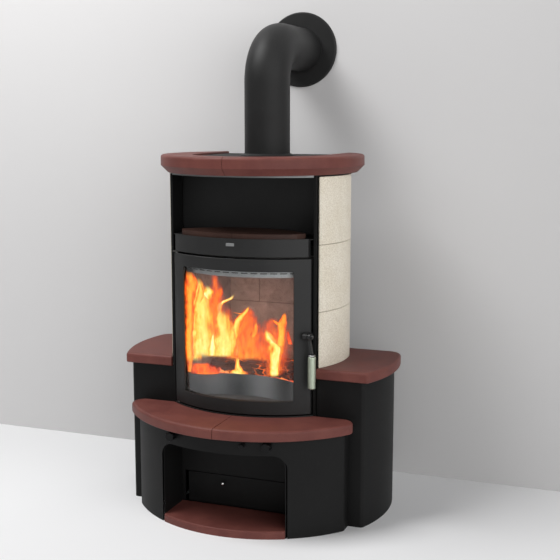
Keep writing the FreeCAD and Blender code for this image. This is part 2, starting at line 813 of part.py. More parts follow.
def make_door_sill():
    sill = front_wall(frame_back_radius, front_radius, post_inner_x - seat_gap,
                      sill_top_z - sill_thickness, sill_top_z)
    return sill.cut(post_pin(hinge_pin_radius + running_gap, hinge_x, hinge_y,
                             sill_top_z - sill_thickness - overrun, sill_top_z + overrun))


def make_firebox_front_frame():
    half_width = post_inner_x - seat_gap
    skin = front_wall(frame_back_radius, frame_radius, half_width, sill_top_z, frame_top_z)
    opening = block(-frame_opening_half_width, frame_opening_half_width, -reach, front_axis_y,
                    frame_opening_bottom_z, frame_opening_top_z)
    lug_low_z = door_top_z + lug_gap
    lug_high_z = lug_low_z + lug_thickness
    lug = block(-half_width, hinge_x + hinge_pin_radius + lug_margin, hinge_y - hinge_pin_radius - sheet,
                front_axis_y, lug_low_z, lug_high_z)
    lug = lug.cut(drum(front_axis_y, frame_back_radius, lug_low_z, lug_high_z))
    riser = front_wall(frame_back_radius, frame_radius, half_width, lug_low_z - sheet, lug_high_z)
    hole = post_pin(hinge_pin_radius + running_gap, hinge_x, hinge_y, lug_low_z, lug_high_z)
    return fused(skin.cut(opening), riser, lug).cut(hole)


def firebox_inside(half_width, back, front_inset, z0, z1):
    """Space of the firebox, with its front parallel to the front frame."""
    return front_lens(frame_back_radius - seat_gap - front_inset, half_width, back, z0, z1)


def make_firebox_shell():
    outer = firebox_inside(firebox_half_width, firebox_back_y, 0, firebox_bottom_z, firebox_top_z)
    inner_width = firebox_half_width - firebox_plate
    inner = block(-inner_width, inner_width, -reach, firebox_back_y - firebox_plate,
                  firebox_bottom_z + firebox_plate, firebox_top_z - firebox_plate)
    flue_hole = drum(0, flue_inner_radius - seat_gap - wall_sheet, firebox_bottom_z + overrun, firebox_top_z + overrun)
    half_hole = grate_size / 2 - grate_rim
    ash_hole = block(-half_hole, half_hole, grate_y - half_hole, grate_y + half_hole,
                     firebox_bottom_z - overrun, firebox_bottom_z + overrun)
    return outer.cut([inner, flue_hole, ash_hole])


def make_firebricks():
    width = firebox_half_width - firebox_plate - seat_gap
    back = firebox_back_y - firebox_plate - seat_gap
    half_grate = grate_size / 2 + seat_gap
    floor = firebox_inside(width, back, brick_floor_setback, brick_floor_z, hearth_z)
    floor = floor.cut(drum(retainer_axis_y, retainer_radius + seat_gap, brick_floor_z, hearth_z))
    floor = floor.cut(block(-half_grate, half_grate, grate_y - half_grate, grate_y + half_grate,
                            brick_floor_z, hearth_z))
    wall_low_z = hearth_z + seat_gap
    side = block(width - brick_thickness, width, brick_front_y, back, wall_low_z, brick_top_z)
    back_width = width - brick_thickness - brick_joint
    rear = block(-back_width, back_width, back - brick_thickness, back, wall_low_z, brick_top_z)
    return Part.makeCompound([floor, side, mirrored(side), rear])


def make_baffle_plate():
    width = firebox_half_width - firebox_plate - seat_gap
    back = firebox_back_y - firebox_plate - seat_gap
    return block(-width, width, baffle_front_y, back, brick_top_z, brick_top_z + baffle_thickness)


def make_ash_grate():
    half = grate_size / 2
    inner = half - grate_rim
    low_z = brick_floor_z - seat_gap
    grate = block(-half, half, grate_y - half, grate_y + half, low_z, hearth_z)
    pitch = 2 * inner / grate_slot_count
    slots = []
    for place in range(grate_slot_count):
        x = (place - (grate_slot_count - 1) / 2) * pitch
        slots.append(block(x - grate_slot_width / 2, x + grate_slot_width / 2, grate_y - inner, grate_y + inner,
                           low_z - overrun, hearth_z + overrun))
    return grate.cut(slots)


def make_log_retainer():
    high_z = hearth_z + retainer_height
    ring = annulus(retainer_axis_y, retainer_radius - wall_sheet, retainer_radius, brick_floor_z, high_z)
    return ring.common(block(-retainer_half_width, retainer_half_width, retainer_axis_y, reach, brick_floor_z, high_z))


def make_ash_chute():
    outer = block(-chute_half_width, chute_half_width, grate_y - chute_half_width, grate_y + chute_half_width,
                  chute_bottom_z, firebox_bottom_z)
    half = chute_half_width - sheet
    return outer.cut(block(-half, half, grate_y - half, grate_y + half,
                           chute_bottom_z - overrun, firebox_bottom_z + overrun))


# Plinth, log bay and drawer

def plinth_prism(radius, half_width, corner, back, z0, z1):
    prism = drum(plinth_axis_y, radius, z0, z1).common(block(-half_width, half_width, -reach, back, z0, z1))
    front_corner_y = circle_y(plinth_axis_y, radius, half_width)
    return prism.makeFillet(corner, upright_edges(prism, lambda p: p.y < front_corner_y + seat_gap))


def arch_prism(half_width, top_z, corner, y0, y1):
    prism = block(-half_width, half_width, y0, y1, -overrun, top_z)
    shoulders = [edge for edge in prism.Edges
                 if abs(middle(edge).z - top_z) < seat_gap and abs(abs(middle(edge).x) - half_width) < seat_gap]
    return prism.makeFillet(corner, shoulders)


def make_plinth_front():
    back = cabinet_front_y - seat_gap
    outer = plinth_prism(plinth_radius, plinth_half_width, plinth_corner, back, 0, front_bench_z)
    inner = plinth_prism(plinth_radius - wall_sheet, plinth_half_width - wall_sheet, plinth_corner - wall_sheet,
                         back + overrun, -overrun, front_bench_z + overrun)
    arch = arch_prism(arch_half_width, arch_top_z, arch_corner, -reach, back)
    holes = [rod_along_y(radius + bush_wall + seat_gap, x, control_z, -reach, back) for x, radius in control_rods()]
    return outer.cut([inner, arch] + holes)


def control_rods():
    """Place across the plinth and rod radius of each air control."""
    return [(-knob_x, valve_rod_radius), (knob_x, valve_rod_radius), (start_x, start_rod_radius)]


def make_control_bushes():
    bushes = []
    for x, radius in control_rods():
        outer = radius + bush_wall
        face_y = circle_y(plinth_axis_y, plinth_radius, x) - bush_flange_thickness
        tube = rod_along_y(outer, x, control_z, face_y, face_y + bush_length)
        flange = rod_along_y(outer + bush_flange, x, control_z, face_y - bush_flange_thickness, face_y + bush_length)
        flange = flange.cut(drum(plinth_axis_y, plinth_radius + seat_gap, 0, reach))
        bore = rod_along_y(radius + running_gap, x, control_z, -reach, back_y)
        bushes.append(fused(tube, flange).cut(bore))
    return Part.makeCompound(bushes)


def make_log_bay_liner():
    back = base_panel_y - sheet - seat_gap
    outer = arch_prism(liner_outer_x, liner_top_z, arch_corner, -reach, back)
    inner = arch_prism(liner_outer_x - sheet, liner_top_z - sheet, arch_corner - sheet, -reach, back)
    liner = outer.cut(inner)
    liner = liner.cut(block(-reach, reach, -reach, reach, -reach, 0))
    return liner.common(drum(plinth_axis_y, plinth_radius - wall_sheet - seat_gap, -overrun, reach))


def make_log_bay_floor_tile():
    half_width = liner_outer_x - sheet - seat_gap
    back = base_panel_y - sheet - seat_gap
    radius = plinth_radius + bay_tile_proud
    tile = drum(plinth_axis_y, radius, 0, bay_tile_thickness)
    tile = tile.common(block(-half_width, half_width, -reach, back, 0, bay_tile_thickness))
    front = level_edges(tile, bay_tile_thickness,
                        lambda p: math.hypot(p.x, p.y - plinth_axis_y) > radius - seat_gap)
    return tile.makeFillet(bay_tile_rounding, front)


def make_base_front_panel():
    panel = block(-base_panel_half_width, base_panel_half_width, base_panel_y - sheet, base_panel_y,
                  0, base_panel_top_z)
    opening = block(-drawer_opening_half_width, drawer_opening_half_width, base_panel_y - overrun,
                    base_panel_y + overrun, drawer_opening_bottom_z, drawer_opening_top_z)
    ports = [rod_along_y(start_port_radius, start_x, control_z, base_panel_y - overrun, base_panel_y + overrun)]
    for x in (-knob_x, knob_x):
        ports.append(rod_along_y(valve_rod_radius + running_gap, x, control_z,
                                 base_panel_y - overrun, base_panel_y + overrun))
        ports += valve_ports(x, base_panel_y - overrun, base_panel_y + overrun)
    return panel.cut([opening] + ports)


def valve_ports(x, y0, y1):
    ports = []
    for place in range(valve_port_count):
        angle = 2 * math.pi * place / valve_port_count
        ports.append(rod_along_y(valve_port_radius, x + valve_port_ring * math.cos(angle),
                                 control_z + valve_port_ring * math.sin(angle), y0, y1))
    return ports


def make_air_valve(x):
    knob_face_y = circle_y(plinth_axis_y, plinth_radius, x) - knob_gap - 2 * bush_flange_thickness
    disc_back_y = base_panel_y - sheet - valve_gap
    disc_front_y = disc_back_y - valve_disc_thickness
    rod = rod_along_y(valve_rod_radius, x, control_z, knob_face_y - knob_length / 2, base_panel_y + sheet)
    disc = rod_along_y(valve_disc_radius, x, control_z, disc_front_y, disc_back_y)
    return fused(rod, disc.cut(valve_ports(x, disc_front_y, disc_back_y)))


def make_air_knob(x):
    back = circle_y(plinth_axis_y, plinth_radius, x) - knob_gap - 2 * bush_flange_thickness
    front = back - knob_length
    body = rod_along_y(knob_radius, x, control_z, front, back)
    rims = [edge for edge in body.Edges if len(edge.Vertexes) == 1]
    body = body.makeFillet(knob_rounding, rims)
    scallops = []
    for place in range(knob_lobes):
        angle = 2 * math.pi * place / knob_lobes
        away = knob_radius + knob_scallop_radius / 2
        scallops.append(rod_along_y(knob_scallop_radius, x + away * math.cos(angle),
                                    control_z + away * math.sin(angle), front - overrun, back + overrun))
    bore = rod_along_y(valve_rod_radius + running_gap, x, control_z, back - knob_length / 2 - seat_gap, back + overrun)
    return body.cut(scallops + [bore])


def start_knob_back_y():
    return circle_y(plinth_axis_y, plinth_radius, start_x) - knob_gap - 2 * bush_flange_thickness


def make_start_air_plunger():
    plug_front_y = base_panel_y + start_plug_gap + start_travel
    plug_back_y = plug_front_y + start_plug_thickness
    rod = rod_along_y(start_rod_radius, start_x, control_z, start_knob_back_y() - start_knob_length / 2, plug_back_y)
    return fused(rod, rod_along_y(start_plug_radius, start_x, control_z, plug_front_y, plug_back_y))


def make_start_air_knob():
    back = start_knob_back_y()
    body = rod_along_y(start_knob_radius, start_x, control_z, back - start_knob_length, back)
    rims = [edge for edge in body.Edges if len(edge.Vertexes) == 1]
    body = body.makeFillet(knob_rounding, rims)
    return body.cut(rod_along_y(start_rod_radius + running_gap, start_x, control_z,
                                back - start_knob_length / 2 - seat_gap, back + overrun))


def make_ash_drawer():
    face_y = base_panel_y - sheet - drawer_front_proud
    front = block(-drawer_front_half_width, drawer_front_half_width, face_y, base_panel_y,
                  drawer_opening_bottom_z + drawer_front_lift, drawer_opening_top_z - drawer_front_gap)
    width = drawer_box_half_width
    back = base_panel_y + drawer_box_depth
    box = block(-width, width, base_panel_y, back, drawer_box_bottom_z, drawer_box_top_z)
    hollow = block(-width + sheet, width - sheet, base_panel_y, back - sheet,
                   drawer_box_bottom_z + sheet, drawer_box_top_z + overrun)
    hole = rod_along_y(drawer_knob_neck_radius + running_gap, drawer_knob_x, drawer_knob_z,
                       face_y - overrun, base_panel_y + sheet)
    return fused(front, box.cut(hollow)).cut(hole)


def make_ash_drawer_knob():
    face_y = base_panel_y - sheet - drawer_front_proud
    neck = rod_along_y(drawer_knob_neck_radius, drawer_knob_x, drawer_knob_z, face_y - drawer_knob_neck, base_panel_y)
    ball_y = face_y - drawer_knob_neck - drawer_knob_radius / 2
    return fused(neck, Part.makeSphere(drawer_knob_radius, vec(drawer_knob_x, ball_y, drawer_knob_z)))


def make_drawer_runners():
    top_z = drawer_box_bottom_z - seat_gap
    web_x = drawer_box_half_width + sheet
    back = base_panel_y + drawer_box_depth + sheet
    front = base_panel_y + sheet
    flange = block(web_x - runner_flange, web_x + sheet, front, back, top_z - sheet, top_z)
    web = block(web_x, web_x + sheet, front, back, base_thickness, top_z)
    foot = block(web_x, web_x + runner_flange, front, back, base_thickness, base_thickness + sheet)
    right = fused(flange, web, foot)
    return Part.makeCompound([mirrored(right), right])


# Bench

def side_prism(radius, front, back, inner_x, z0, z1):
    return drum(bench_axis_y, radius, z0, z1).common(block(inner_x, reach, front, back, z0, z1))


def make_right_cabinet():
    inner_x = post_outer_x + bench_gap
    outer = side_prism(cabinet_radius, cabinet_front_y, cabinet_back_y, inner_x, 0, tile_ledge_z)
    hollow = side_prism(cabinet_radius - wall_sheet, cabinet_front_y + wall_sheet, cabinet_back_y - wall_sheet,
                        inner_x - overrun, -overrun, tile_ledge_z + overrun)
    outer = outer.makeFillet(cabinet_corner, upright_edges(outer, lambda p: p.x > inner_x + overrun))
    hollow = hollow.makeFillet(cabinet_corner - wall_sheet, upright_edges(hollow, lambda p: p.x > inner_x + overrun))
    return outer.cut(hollow)


def make_right_bench_tile():
    inner_x = post_outer_x + tile_post_gap
    top_z = bench_z + bench_thickness
    tile = side_prism(bench_radius, bench_front_y, bench_back_y, inner_x - overrun, bench_z, top_z)
    tile = tile.cut(block(0, inner_x, -reach, body_axis_y, bench_z, top_z))
    tile = tile.cut(drum(body_axis_y, tile_outer_radius + bench_gap, bench_z, top_z))
    far_x = tile_outer_radius + tile_ledge_width
    tile = tile.makeFillet(bench_back_corner, upright_edges(tile, lambda p: p.x > far_x and p.y > 0))
    tile = tile.makeFillet(bench_front_corner, upright_edges(tile, lambda p: p.x > far_x and p.y < bench_axis_y))
    outside = tile_outer_radius + bench_gap + bench_top_rounding

    def on_outside(point):
        return math.hypot(point.x, point.y - body_axis_y) > outside

    tile = tile.makeFillet(bench_top_rounding, level_edges(tile, top_z, on_outside))
    return tile.makeFillet(bench_bottom_rounding, level_edges(tile, bench_z, on_outside))


def make_front_bench_halves():
    top_z = front_bench_z + bench_thickness
    back = cabinet_front_y - bench_gap
    slab = drum(front_bench_axis_y, front_bench_radius, front_bench_z, top_z)
    slab = slab.common(block(-reach, reach, -reach, back, front_bench_z, top_z))
    body_front = drum(front_axis_y, front_radius + bench_gap, front_bench_z, top_z)
    post_room = block(-post_outer_x - bench_gap, post_outer_x + bench_gap, post_front_y - bench_gap, reach,
                      front_bench_z, top_z)
    slab = slab.cut([body_front, post_room])
    tip_x = math.sqrt(front_bench_radius ** 2 - (back - front_bench_axis_y) ** 2)
    tips = upright_edges(slab, lambda p: abs(p.x) > tip_x - seat_gap)
    slab = slab.makeFillet(front_bench_corner, tips)
    rim = front_bench_radius - front_bench_corner

    def on_rim(point):
        return math.hypot(point.x, point.y - front_bench_axis_y) > rim

    slab = slab.makeFillet(bench_top_rounding, level_edges(slab, top_z, on_rim))
    slab = slab.makeFillet(bench_bottom_rounding, level_edges(slab, front_bench_z, on_rim))
    right = slab.common(block(front_bench_joint / 2, reach, -reach, reach, front_bench_z, top_z))
    return mirrored(right), right


def make_parts():
    right_frame = make_right_side_frame()
    right_tiles = make_right_side_tiles()
    right_cabinet = make_right_cabinet()
    right_bench = make_right_bench_tile()
    front_bench_left, front_bench_right = make_front_bench_halves()
    ring_left, ring_right = make_top_ring_halves()
    return {
        "base_plate": make_base_plate(),
        "left_side_frame": mirrored(right_frame),
        "right_side_frame": right_frame,
        "left_side_tiles": mirrored(right_tiles),
        "right_side_tiles": right_tiles,
        "rear_casing": make_rear_casing(),
        "base_front_panel": make_base_front_panel(),
        "door_sill": make_door_sill(),
        "plinth_front": make_plinth_front(),
        "control_bushes": make_control_bushes(),
        "log_bay_liner": make_log_bay_liner(),
        "log_bay_floor_tile": make_log_bay_floor_tile(),
        "left_cabinet": mirrored(right_cabinet),
        "right_cabinet": right_cabinet,
        "left_bench_tile": mirrored(right_bench),
        "right_bench_tile": right_bench,
        "front_bench_tile_left": front_bench_left,
        "front_bench_tile_right": front_bench_right,
        "top_deck": make_top_deck(),
        "top_ring_left": ring_left,
        "top_ring_right": ring_right,
        "top_cover": make_top_cover(),
        "trim_strip": make_trim_strip(),
        "flue_spigot": make_flue_spigot(),
        "flue_pipe": make_flue_pipe(),
        "flue_elbow": make_flue_elbow(),
        "flue_wall_pipe": make_flue_wall_pipe(),
        "flue_collar": make_flue_collar(),
        "wall_rosette": make_wall_rosette(),
        "compartment_back": make_compartment_back(),
        "shelf_plate": make_shelf_plate(),
        "shelf_tiles": make_shelf_tiles(),
        "upper_fascia": make_upper_fascia(),
        "firebox_shell": make_firebox_shell(),
        "firebox_front_frame": make_firebox_front_frame(),
        "firebricks": make_firebricks(),
        "baffle_plate": make_baffle_plate(),
        "ash_grate": make_ash_grate(),
        "ash_chute": make_ash_chute(),
        "log_retainer": make_log_retainer(),
        "latch_striker": make_latch_striker(),
        "drawer_runners": make_drawer_runners(),
        "door_frame": make_door_frame(),
        "door_glass": make_door_glass(),
        "glass_clips": make_glass_clips(),
        "door_gasket": make_door_gasket(),
        "hinge_pins": make_hinge_pins(),
        "handle_bracket": make_handle_bracket(),
        "latch_shaft": make_latch_shaft(),
        "latch_cam": make_latch_cam(),
        "handle_arm": make_handle_arm(),
        "handle_grip": make_handle_grip(),
        "left_air_valve": make_air_valve(-knob_x),
        "left_air_knob": make_air_knob(-knob_x),
        "right_air_valve": make_air_valve(knob_x),
        "right_air_knob": make_air_knob(knob_x),
        "start_air_plunger": make_start_air_plunger(),
        "start_air_knob": make_start_air_knob(),
        "ash_drawer": make_ash_drawer(),
        "ash_drawer_knob": make_ash_drawer_knob(),
    }


os.makedirs("parts", exist_ok=True)
for node, shape in make_parts().items():
    shape.exportStep("parts/" + node + ".step")
    print(node, "solids", len(shape.Solids), "valid", shape.isValid(), "volume", round(shape.Volume))
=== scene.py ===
import json
import math

import bmesh
import bpy
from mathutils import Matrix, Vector, noise


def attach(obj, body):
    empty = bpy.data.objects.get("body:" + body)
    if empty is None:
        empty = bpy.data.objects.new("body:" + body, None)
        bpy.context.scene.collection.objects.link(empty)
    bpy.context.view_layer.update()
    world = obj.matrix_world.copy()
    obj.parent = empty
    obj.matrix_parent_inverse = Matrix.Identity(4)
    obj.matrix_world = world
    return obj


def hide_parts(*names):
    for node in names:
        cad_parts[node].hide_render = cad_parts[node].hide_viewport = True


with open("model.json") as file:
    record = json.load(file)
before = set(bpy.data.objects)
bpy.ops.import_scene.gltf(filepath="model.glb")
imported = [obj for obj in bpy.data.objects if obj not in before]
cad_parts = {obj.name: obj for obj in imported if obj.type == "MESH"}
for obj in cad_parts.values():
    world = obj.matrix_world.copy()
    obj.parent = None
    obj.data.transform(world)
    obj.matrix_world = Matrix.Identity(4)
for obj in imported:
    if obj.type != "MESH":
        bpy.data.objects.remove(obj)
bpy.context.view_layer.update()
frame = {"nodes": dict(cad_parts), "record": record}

scene = bpy.context.scene
print("frame loaded:", len(frame["nodes"]), "nodes")


def screenColour(tone):  # a tone as it looks on screen, 0 to 255
    def straight(part):
        part = part / 255
        return part / 12.92 if part <= 0.04045 else ((part + 0.055) / 1.055) ** 2.4
    return (*(straight(part) for part in tone), 1.0)


def asColour(tone):  # three parts are a tone on screen, four parts or a wire are a colour already
    return screenColour(tone) if isinstance(tone, tuple) and len(tone) == 3 else tone


class Wire:
    def __init__(self, board, socket):
        self.board = board
        self.socket = socket

    def maths(self, operation, *others):
        values = dict(enumerate((self,) + others))
        return self.board.add("ShaderNodeMath", {"operation": operation}, values)

    def __add__(self, other):
        return self.maths("ADD", other)

    __radd__ = __add__

    def __mul__(self, other):
        return self.maths("MULTIPLY", other)

    __rmul__ = __mul__

    def __sub__(self, other):
        return self.maths("SUBTRACT", other)

    def __rsub__(self, other):
        return self.board.add("ShaderNodeMath", {"operation": "SUBTRACT"}, {0: other, 1: self})

    def __truediv__(self, other):
        return self.maths("DIVIDE", other)

    def __abs__(self):
        return self.maths("ABSOLUTE")

    def over(self, low, high):  # 0 below low, 1 above high, smooth between
        return self.board.add("ShaderNodeMapRange", {"interpolation_type": "SMOOTHSTEP"},
                              {"Value": self, "From Min": low, "From Max": high})


class Board:
    def __init__(self, tree):
        self.tree = tree

    def feed(self, socket, value):
        if isinstance(value, Wire):
            self.tree.links.new(value.socket, socket)
        else:
            socket.default_value = value

    def add(self, kind, settings=None, sockets=None, out=0):
        made = self.tree.nodes.new(kind)
        for key, value in (settings or {}).items():
            if key == "stops":
                self.setStops(made.color_ramp, value)
            else:
                setattr(made, key, value)
        for key, value in (sockets or {}).items():
            self.feed(made.inputs[key], value)
        return Wire(self, made.outputs[out])

    def setStops(self, ramp, stops):
        ramp.elements[0].position = stops[0][0]
        ramp.elements[-1].position = stops[-1][0]
        for place, colour in stops[1:-1]:
            ramp.elements.new(place)
        for element, (place, colour) in zip(ramp.elements, stops):
            element.color = colour


class Paint(Board):
    def __init__(self, name):
        self.material = bpy.data.materials.new(name)
        self.material.use_nodes = True
        super().__init__(self.material.node_tree)
        self.tree.nodes.clear()
        self.shader = self.tree.nodes.new("ShaderNodeBsdfPrincipled")
        sheet = self.tree.nodes.new("ShaderNodeOutputMaterial")
        self.tree.links.new(self.shader.outputs[0], sheet.inputs["Surface"])
        self.where = self.add("ShaderNodeTexCoord", out="Object")

    def set(self, **values):
        for key, value in values.items():
            self.feed(self.shader.inputs[socketNames[key]], value)

    def stretched(self, stretch):
        return self.add("ShaderNodeMapping", None, {"Vector": self.where, "Scale": stretch})

    def grain(self, scale, detail=3.0, rough=0.55, stretch=None):
        place = self.stretched(stretch) if stretch else self.where
        return self.add("ShaderNodeTexNoise", None,
                        {"Vector": place, "Scale": scale, "Detail": detail, "Roughness": rough})

    def cells(self, scale, feature="F1", out="Distance", stretch=None):
        place = self.stretched(stretch) if stretch else self.where
        return self.add("ShaderNodeTexVoronoi", {"feature": feature}, {"Vector": place, "Scale": scale}, out)

    def specks(self, scale, low, high):  # round specks, and each one's own number
        return 1 - self.cells(scale).over(low, high), self.cells(scale, out="Color") * 1.0

    def split(self, place):  # the three parts of a place
        parts = self.add("ShaderNodeSeparateXYZ", None, {0: place}).socket.node
        return [Wire(self, socket) for socket in parts.outputs]

    def mapped(self, layer):  # place on one of the piece's own UV maps
        return self.split(self.add("ShaderNodeUVMap", {"uv_map": layer}))[:2]

    def mix(self, factor, first, second):
        return self.add("ShaderNodeMix", {"data_type": "RGBA"},
                        {0: factor, 6: asColour(first), 7: asColour(second)}, 2)

    def ramp(self, value, stops):
        stops = [(place, asColour(tone)) for place, tone in stops]
        return self.add("ShaderNodeValToRGB", {"stops": stops}, {0: value})

    def bump(self, height, strength, depth):
        self.set(normal=self.add("ShaderNodeBump", None,
                                 {"Strength": strength, "Distance": depth, "Height": height}))
        return self


socketNames = {
    "colour": "Base Color", "rough": "Roughness", "metal": "Metallic", "normal": "Normal", "alpha": "Alpha",
    "glow": "Emission Color", "glowPower": "Emission Strength", "shine": "Specular IOR Level",
}

# Finishes: tones of three parts are as seen on screen, relief is the bump's strength and depth in metres

creamGlazeLook = {
    "pale": (236, 229, 214), "warm": (231, 223, 206), "fleck": (164, 146, 118), "light": (246, 242, 232),
    "fleckScale": 230.0, "grainScale": 700.0, "mottleScale": 240.0, "cloudScale": 14.0, "mottle": 0.3,
    "brown": 0.55, "white": 0.6, "speckle": 0.16, "rough": 0.42, "shine": 0.4, "relief": (0.35, 0.0006),
}


def creamGlaze(look):
    paint = Paint("creamGlaze")
    fine = paint.grain(look["grainScale"])
    clouds = paint.grain(look["cloudScale"])
    mottle = paint.grain(look["mottleScale"], 2.0, 0.7).over(0.38, 0.62)
    dots, chosen = paint.specks(look["fleckScale"], 0.12, 0.34)
    brown = dots * chosen.over(0.52, 0.6)
    white = dots * (1 - chosen.over(0.38, 0.45))
    colour = paint.mix(clouds.over(0.35, 0.65), look["pale"], look["warm"])
    colour = paint.mix(mottle * look["mottle"], colour, look["fleck"])
    colour = paint.mix(brown * look["brown"], colour, look["fleck"])
    colour = paint.mix(white * look["white"], colour, look["light"])
    colour = paint.mix(fine.over(0.35, 0.75) * look["speckle"], colour, look["fleck"])
    paint.set(colour=colour, rough=look["rough"] + fine * 0.16, shine=look["shine"])
    return paint.bump(fine * 0.6 - brown * 0.5, *look["relief"]).material


redGlazeLooks = {
    "redGlaze": {"body": (101, 56, 51), "light": (114, 66, 59), "dark": (72, 39, 36), "rough": 0.44},
    # the shelf's glaze is the red glaze darkened, as painted shade for the tile inside the shaded compartment
    "shelfGlaze": {"body": (55, 36, 30), "light": (64, 43, 36), "dark": (40, 27, 23), "rough": 0.4},
}
redGlazeGrain = {
    "fleckScale": 330.0, "grainScale": 620.0, "cloudScale": 14.0, "pits": 0.7, "speckle": 0.35,
    "shine": 0.22, "relief": (0.3, 0.0008),
}


def redGlaze(name, look):
    paint = Paint(name)
    fine = paint.grain(redGlazeGrain["grainScale"], 4.0)
    clouds = paint.grain(redGlazeGrain["cloudScale"], 5.0, 0.6)
    dots, chosen = paint.specks(redGlazeGrain["fleckScale"], 0.1, 0.32)
    pits = dots * chosen.over(0.56, 0.62)
    colour = paint.mix(clouds.over(0.3, 0.7), look["body"], look["light"])
    colour = paint.mix(pits * redGlazeGrain["pits"], colour, look["dark"])
    colour = paint.mix(fine.over(0.45, 0.8) * redGlazeGrain["speckle"], colour, look["dark"])
    paint.set(colour=colour, rough=look["rough"] + clouds * 0.14, shine=redGlazeGrain["shine"])
    return paint.bump(fine * 0.5 + clouds * 0.6 - pits * 0.5, *redGlazeGrain["relief"]).material


stovePaintLooks = {
    "blackPaint": {"dark": (15, 15, 15), "light": (19, 19, 19), "dust": (74, 72, 70), "peelScale": 900.0,
                   "cloudScale": 5.0, "rough": 0.5, "shine": 0.18, "relief": (0.25, 0.0004)},
    "charcoalPaint": {"dark": (34, 34, 34), "light": (39, 39, 39), "dust": (92, 90, 88), "peelScale": 1100.0,
                      "cloudScale": 6.0, "rough": 0.4, "shine": 0.3, "relief": (0.16, 0.0004)},
    "fluePaint": {"dark": (33, 33, 33), "light": (38, 38, 38), "dust": (86, 84, 82), "peelScale": 1000.0,
                  "cloudScale": 7.0, "rough": 0.46, "shine": 0.2, "relief": (0.2, 0.0004)},
    "armPaint": {"dark": (26, 26, 27), "light": (32, 32, 33), "dust": (80, 80, 80), "peelScale": 1400.0,
                 "cloudScale": 20.0, "rough": 0.33, "shine": 0.5, "relief": (0.12, 0.0004)},
}


def stovePaint(name, look):
    paint = Paint(name)
    peel = paint.grain(look["peelScale"], 2.0)
    clouds = paint.grain(look["cloudScale"], 4.0)
    dust = paint.grain(look["cloudScale"] * 9, 5.0, 0.7).over(0.55, 0.85)
    colour = paint.mix(clouds.over(0.3, 0.7), look["dark"], look["light"])
    colour = paint.mix(dust * 0.12, colour, look["dust"])
    paint.set(colour=colour, rough=look["rough"] + clouds * 0.1 + dust * 0.08, shine=look["shine"])
    return paint.bump(peel, *look["relief"]).material


brushedMetalLooks = {
    "brightSteel": {"dark": (176, 176, 174), "light": (206, 206, 204), "scale": 40.0,
                    "stretch": (0.6, 26.0, 26.0), "rough": 0.24},
    "gripMetal": {"dark": (172, 182, 164), "light": (197, 206, 188), "scale": 60.0,
                  "stretch": (20.0, 20.0, 1.2), "rough": 0.4},
    "plateMetal": {"dark": (150, 151, 151), "light": (156, 157, 157), "scale": 30.0,
                   "stretch": (1.0, 1.0, 1.0), "rough": 0.5},
    "zincStrip": {"dark": (156, 159, 159), "light": (178, 181, 181), "scale": 30.0,
                  "stretch": (1.0, 8.0, 30.0), "rough": 0.5},
    "trimSteel": {"dark": (122, 124, 124), "light": (142, 144, 144), "scale": 40.0,
                  "stretch": (0.6, 0.6, 26.0), "rough": 0.42},
    "knobSteel": {"dark": (205, 205, 204), "light": (226, 226, 224), "scale": 90.0,
                  "stretch": (1.0, 1.0, 6.0), "rough": 0.14},
}
brushRelief = (0.12, 0.0003)


def brushedMetal(name, look):
    paint = Paint(name)
    streaks = paint.grain(look["scale"], 3.0, 0.6, look["stretch"])
    smudge = paint.grain(18.0, 4.0).over(0.5, 0.8)
    colour = paint.mix(streaks.over(0.3, 0.7), look["dark"], look["light"])
    paint.set(colour=colour, metal=1.0, rough=look["rough"] + streaks * 0.14 + smudge * 0.1)
    return paint.bump(streaks, *brushRelief).material


# Painted highlights: upright bright bands on the retainer, stronger towards its right, stand for lamp
# reflections on its curve
retainerSteelLook = {
    "dark": (34, 36, 38), "light": (160, 163, 166), "firstBand": -0.134, "bandPitch": 0.179, "polish": 0.6,
    "polishRise": 2.3, "streaks": 0.12, "soot": 0.25, "metal": 0.15, "rough": 0.5, "shine": 0.25,
}


def retainerSteel(look):
    paint = Paint("retainerSteel")
    x, y, z = paint.split(paint.where)
    highlightBands = ((x - look["firstBand"]) * (2 * math.pi / look["bandPitch"])).maths("COSINE") * 0.5 + 0.5
    streaks = paint.grain(30.0, 3.0, 0.6, (30.0, 30.0, 0.8))
    soot = paint.grain(14.0, 4.0).over(0.5, 0.8)
    # painted highlight: the bands, brighter towards the right, with the brushed streaks added as grain; the
    # light tone is the highlight's colour
    polish = highlightBands * (look["polish"] + x * look["polishRise"]) + streaks * look["streaks"]
    colour = paint.mix(polish, look["dark"], look["light"])
    colour = paint.mix(soot * look["soot"], colour, look["dark"])
    paint.set(colour=colour, metal=look["metal"], rough=look["rough"] + streaks * 0.12 + soot * 0.1,
              shine=look["shine"])
    return paint.bump(streaks, *brushRelief).material


heatedPlateLook = {
    "soot": (44, 42, 41), "plate": (74, 72, 70), "straw": (98, 90, 82), "metal": 0.4, "rough": 0.5,
    "relief": (0.3, 0.0005),
}


def heatedPlate(look):
    paint = Paint("heatedPlate")
    scale = paint.grain(16.0, 5.0, 0.65)
    fine = paint.grain(420.0, 3.0)
    colour = paint.ramp(scale, [(0.3, look["soot"]), (0.55, look["plate"]), (0.75, look["straw"])])
    paint.set(colour=colour, metal=look["metal"], rough=look["rough"] + fine * 0.25)
    return paint.bump(fine, *look["relief"]).material


# Joints between the bricks: one level line, and two upright ones above it
fireBrickLook = {
    "dark": (104, 100, 100), "body": (124, 120, 120), "light": (140, 136, 136), "soot": (90, 85, 85),
    "sooted": 0.6, "joint": (56, 46, 43), "jointX": 0.068, "jointZ": 0.6435, "jointHalf": (0.0006, 0.0016),
    "jointDark": 0.75, "rough": 0.86, "shine": 0.2, "relief": (0.45, 0.0012),
}


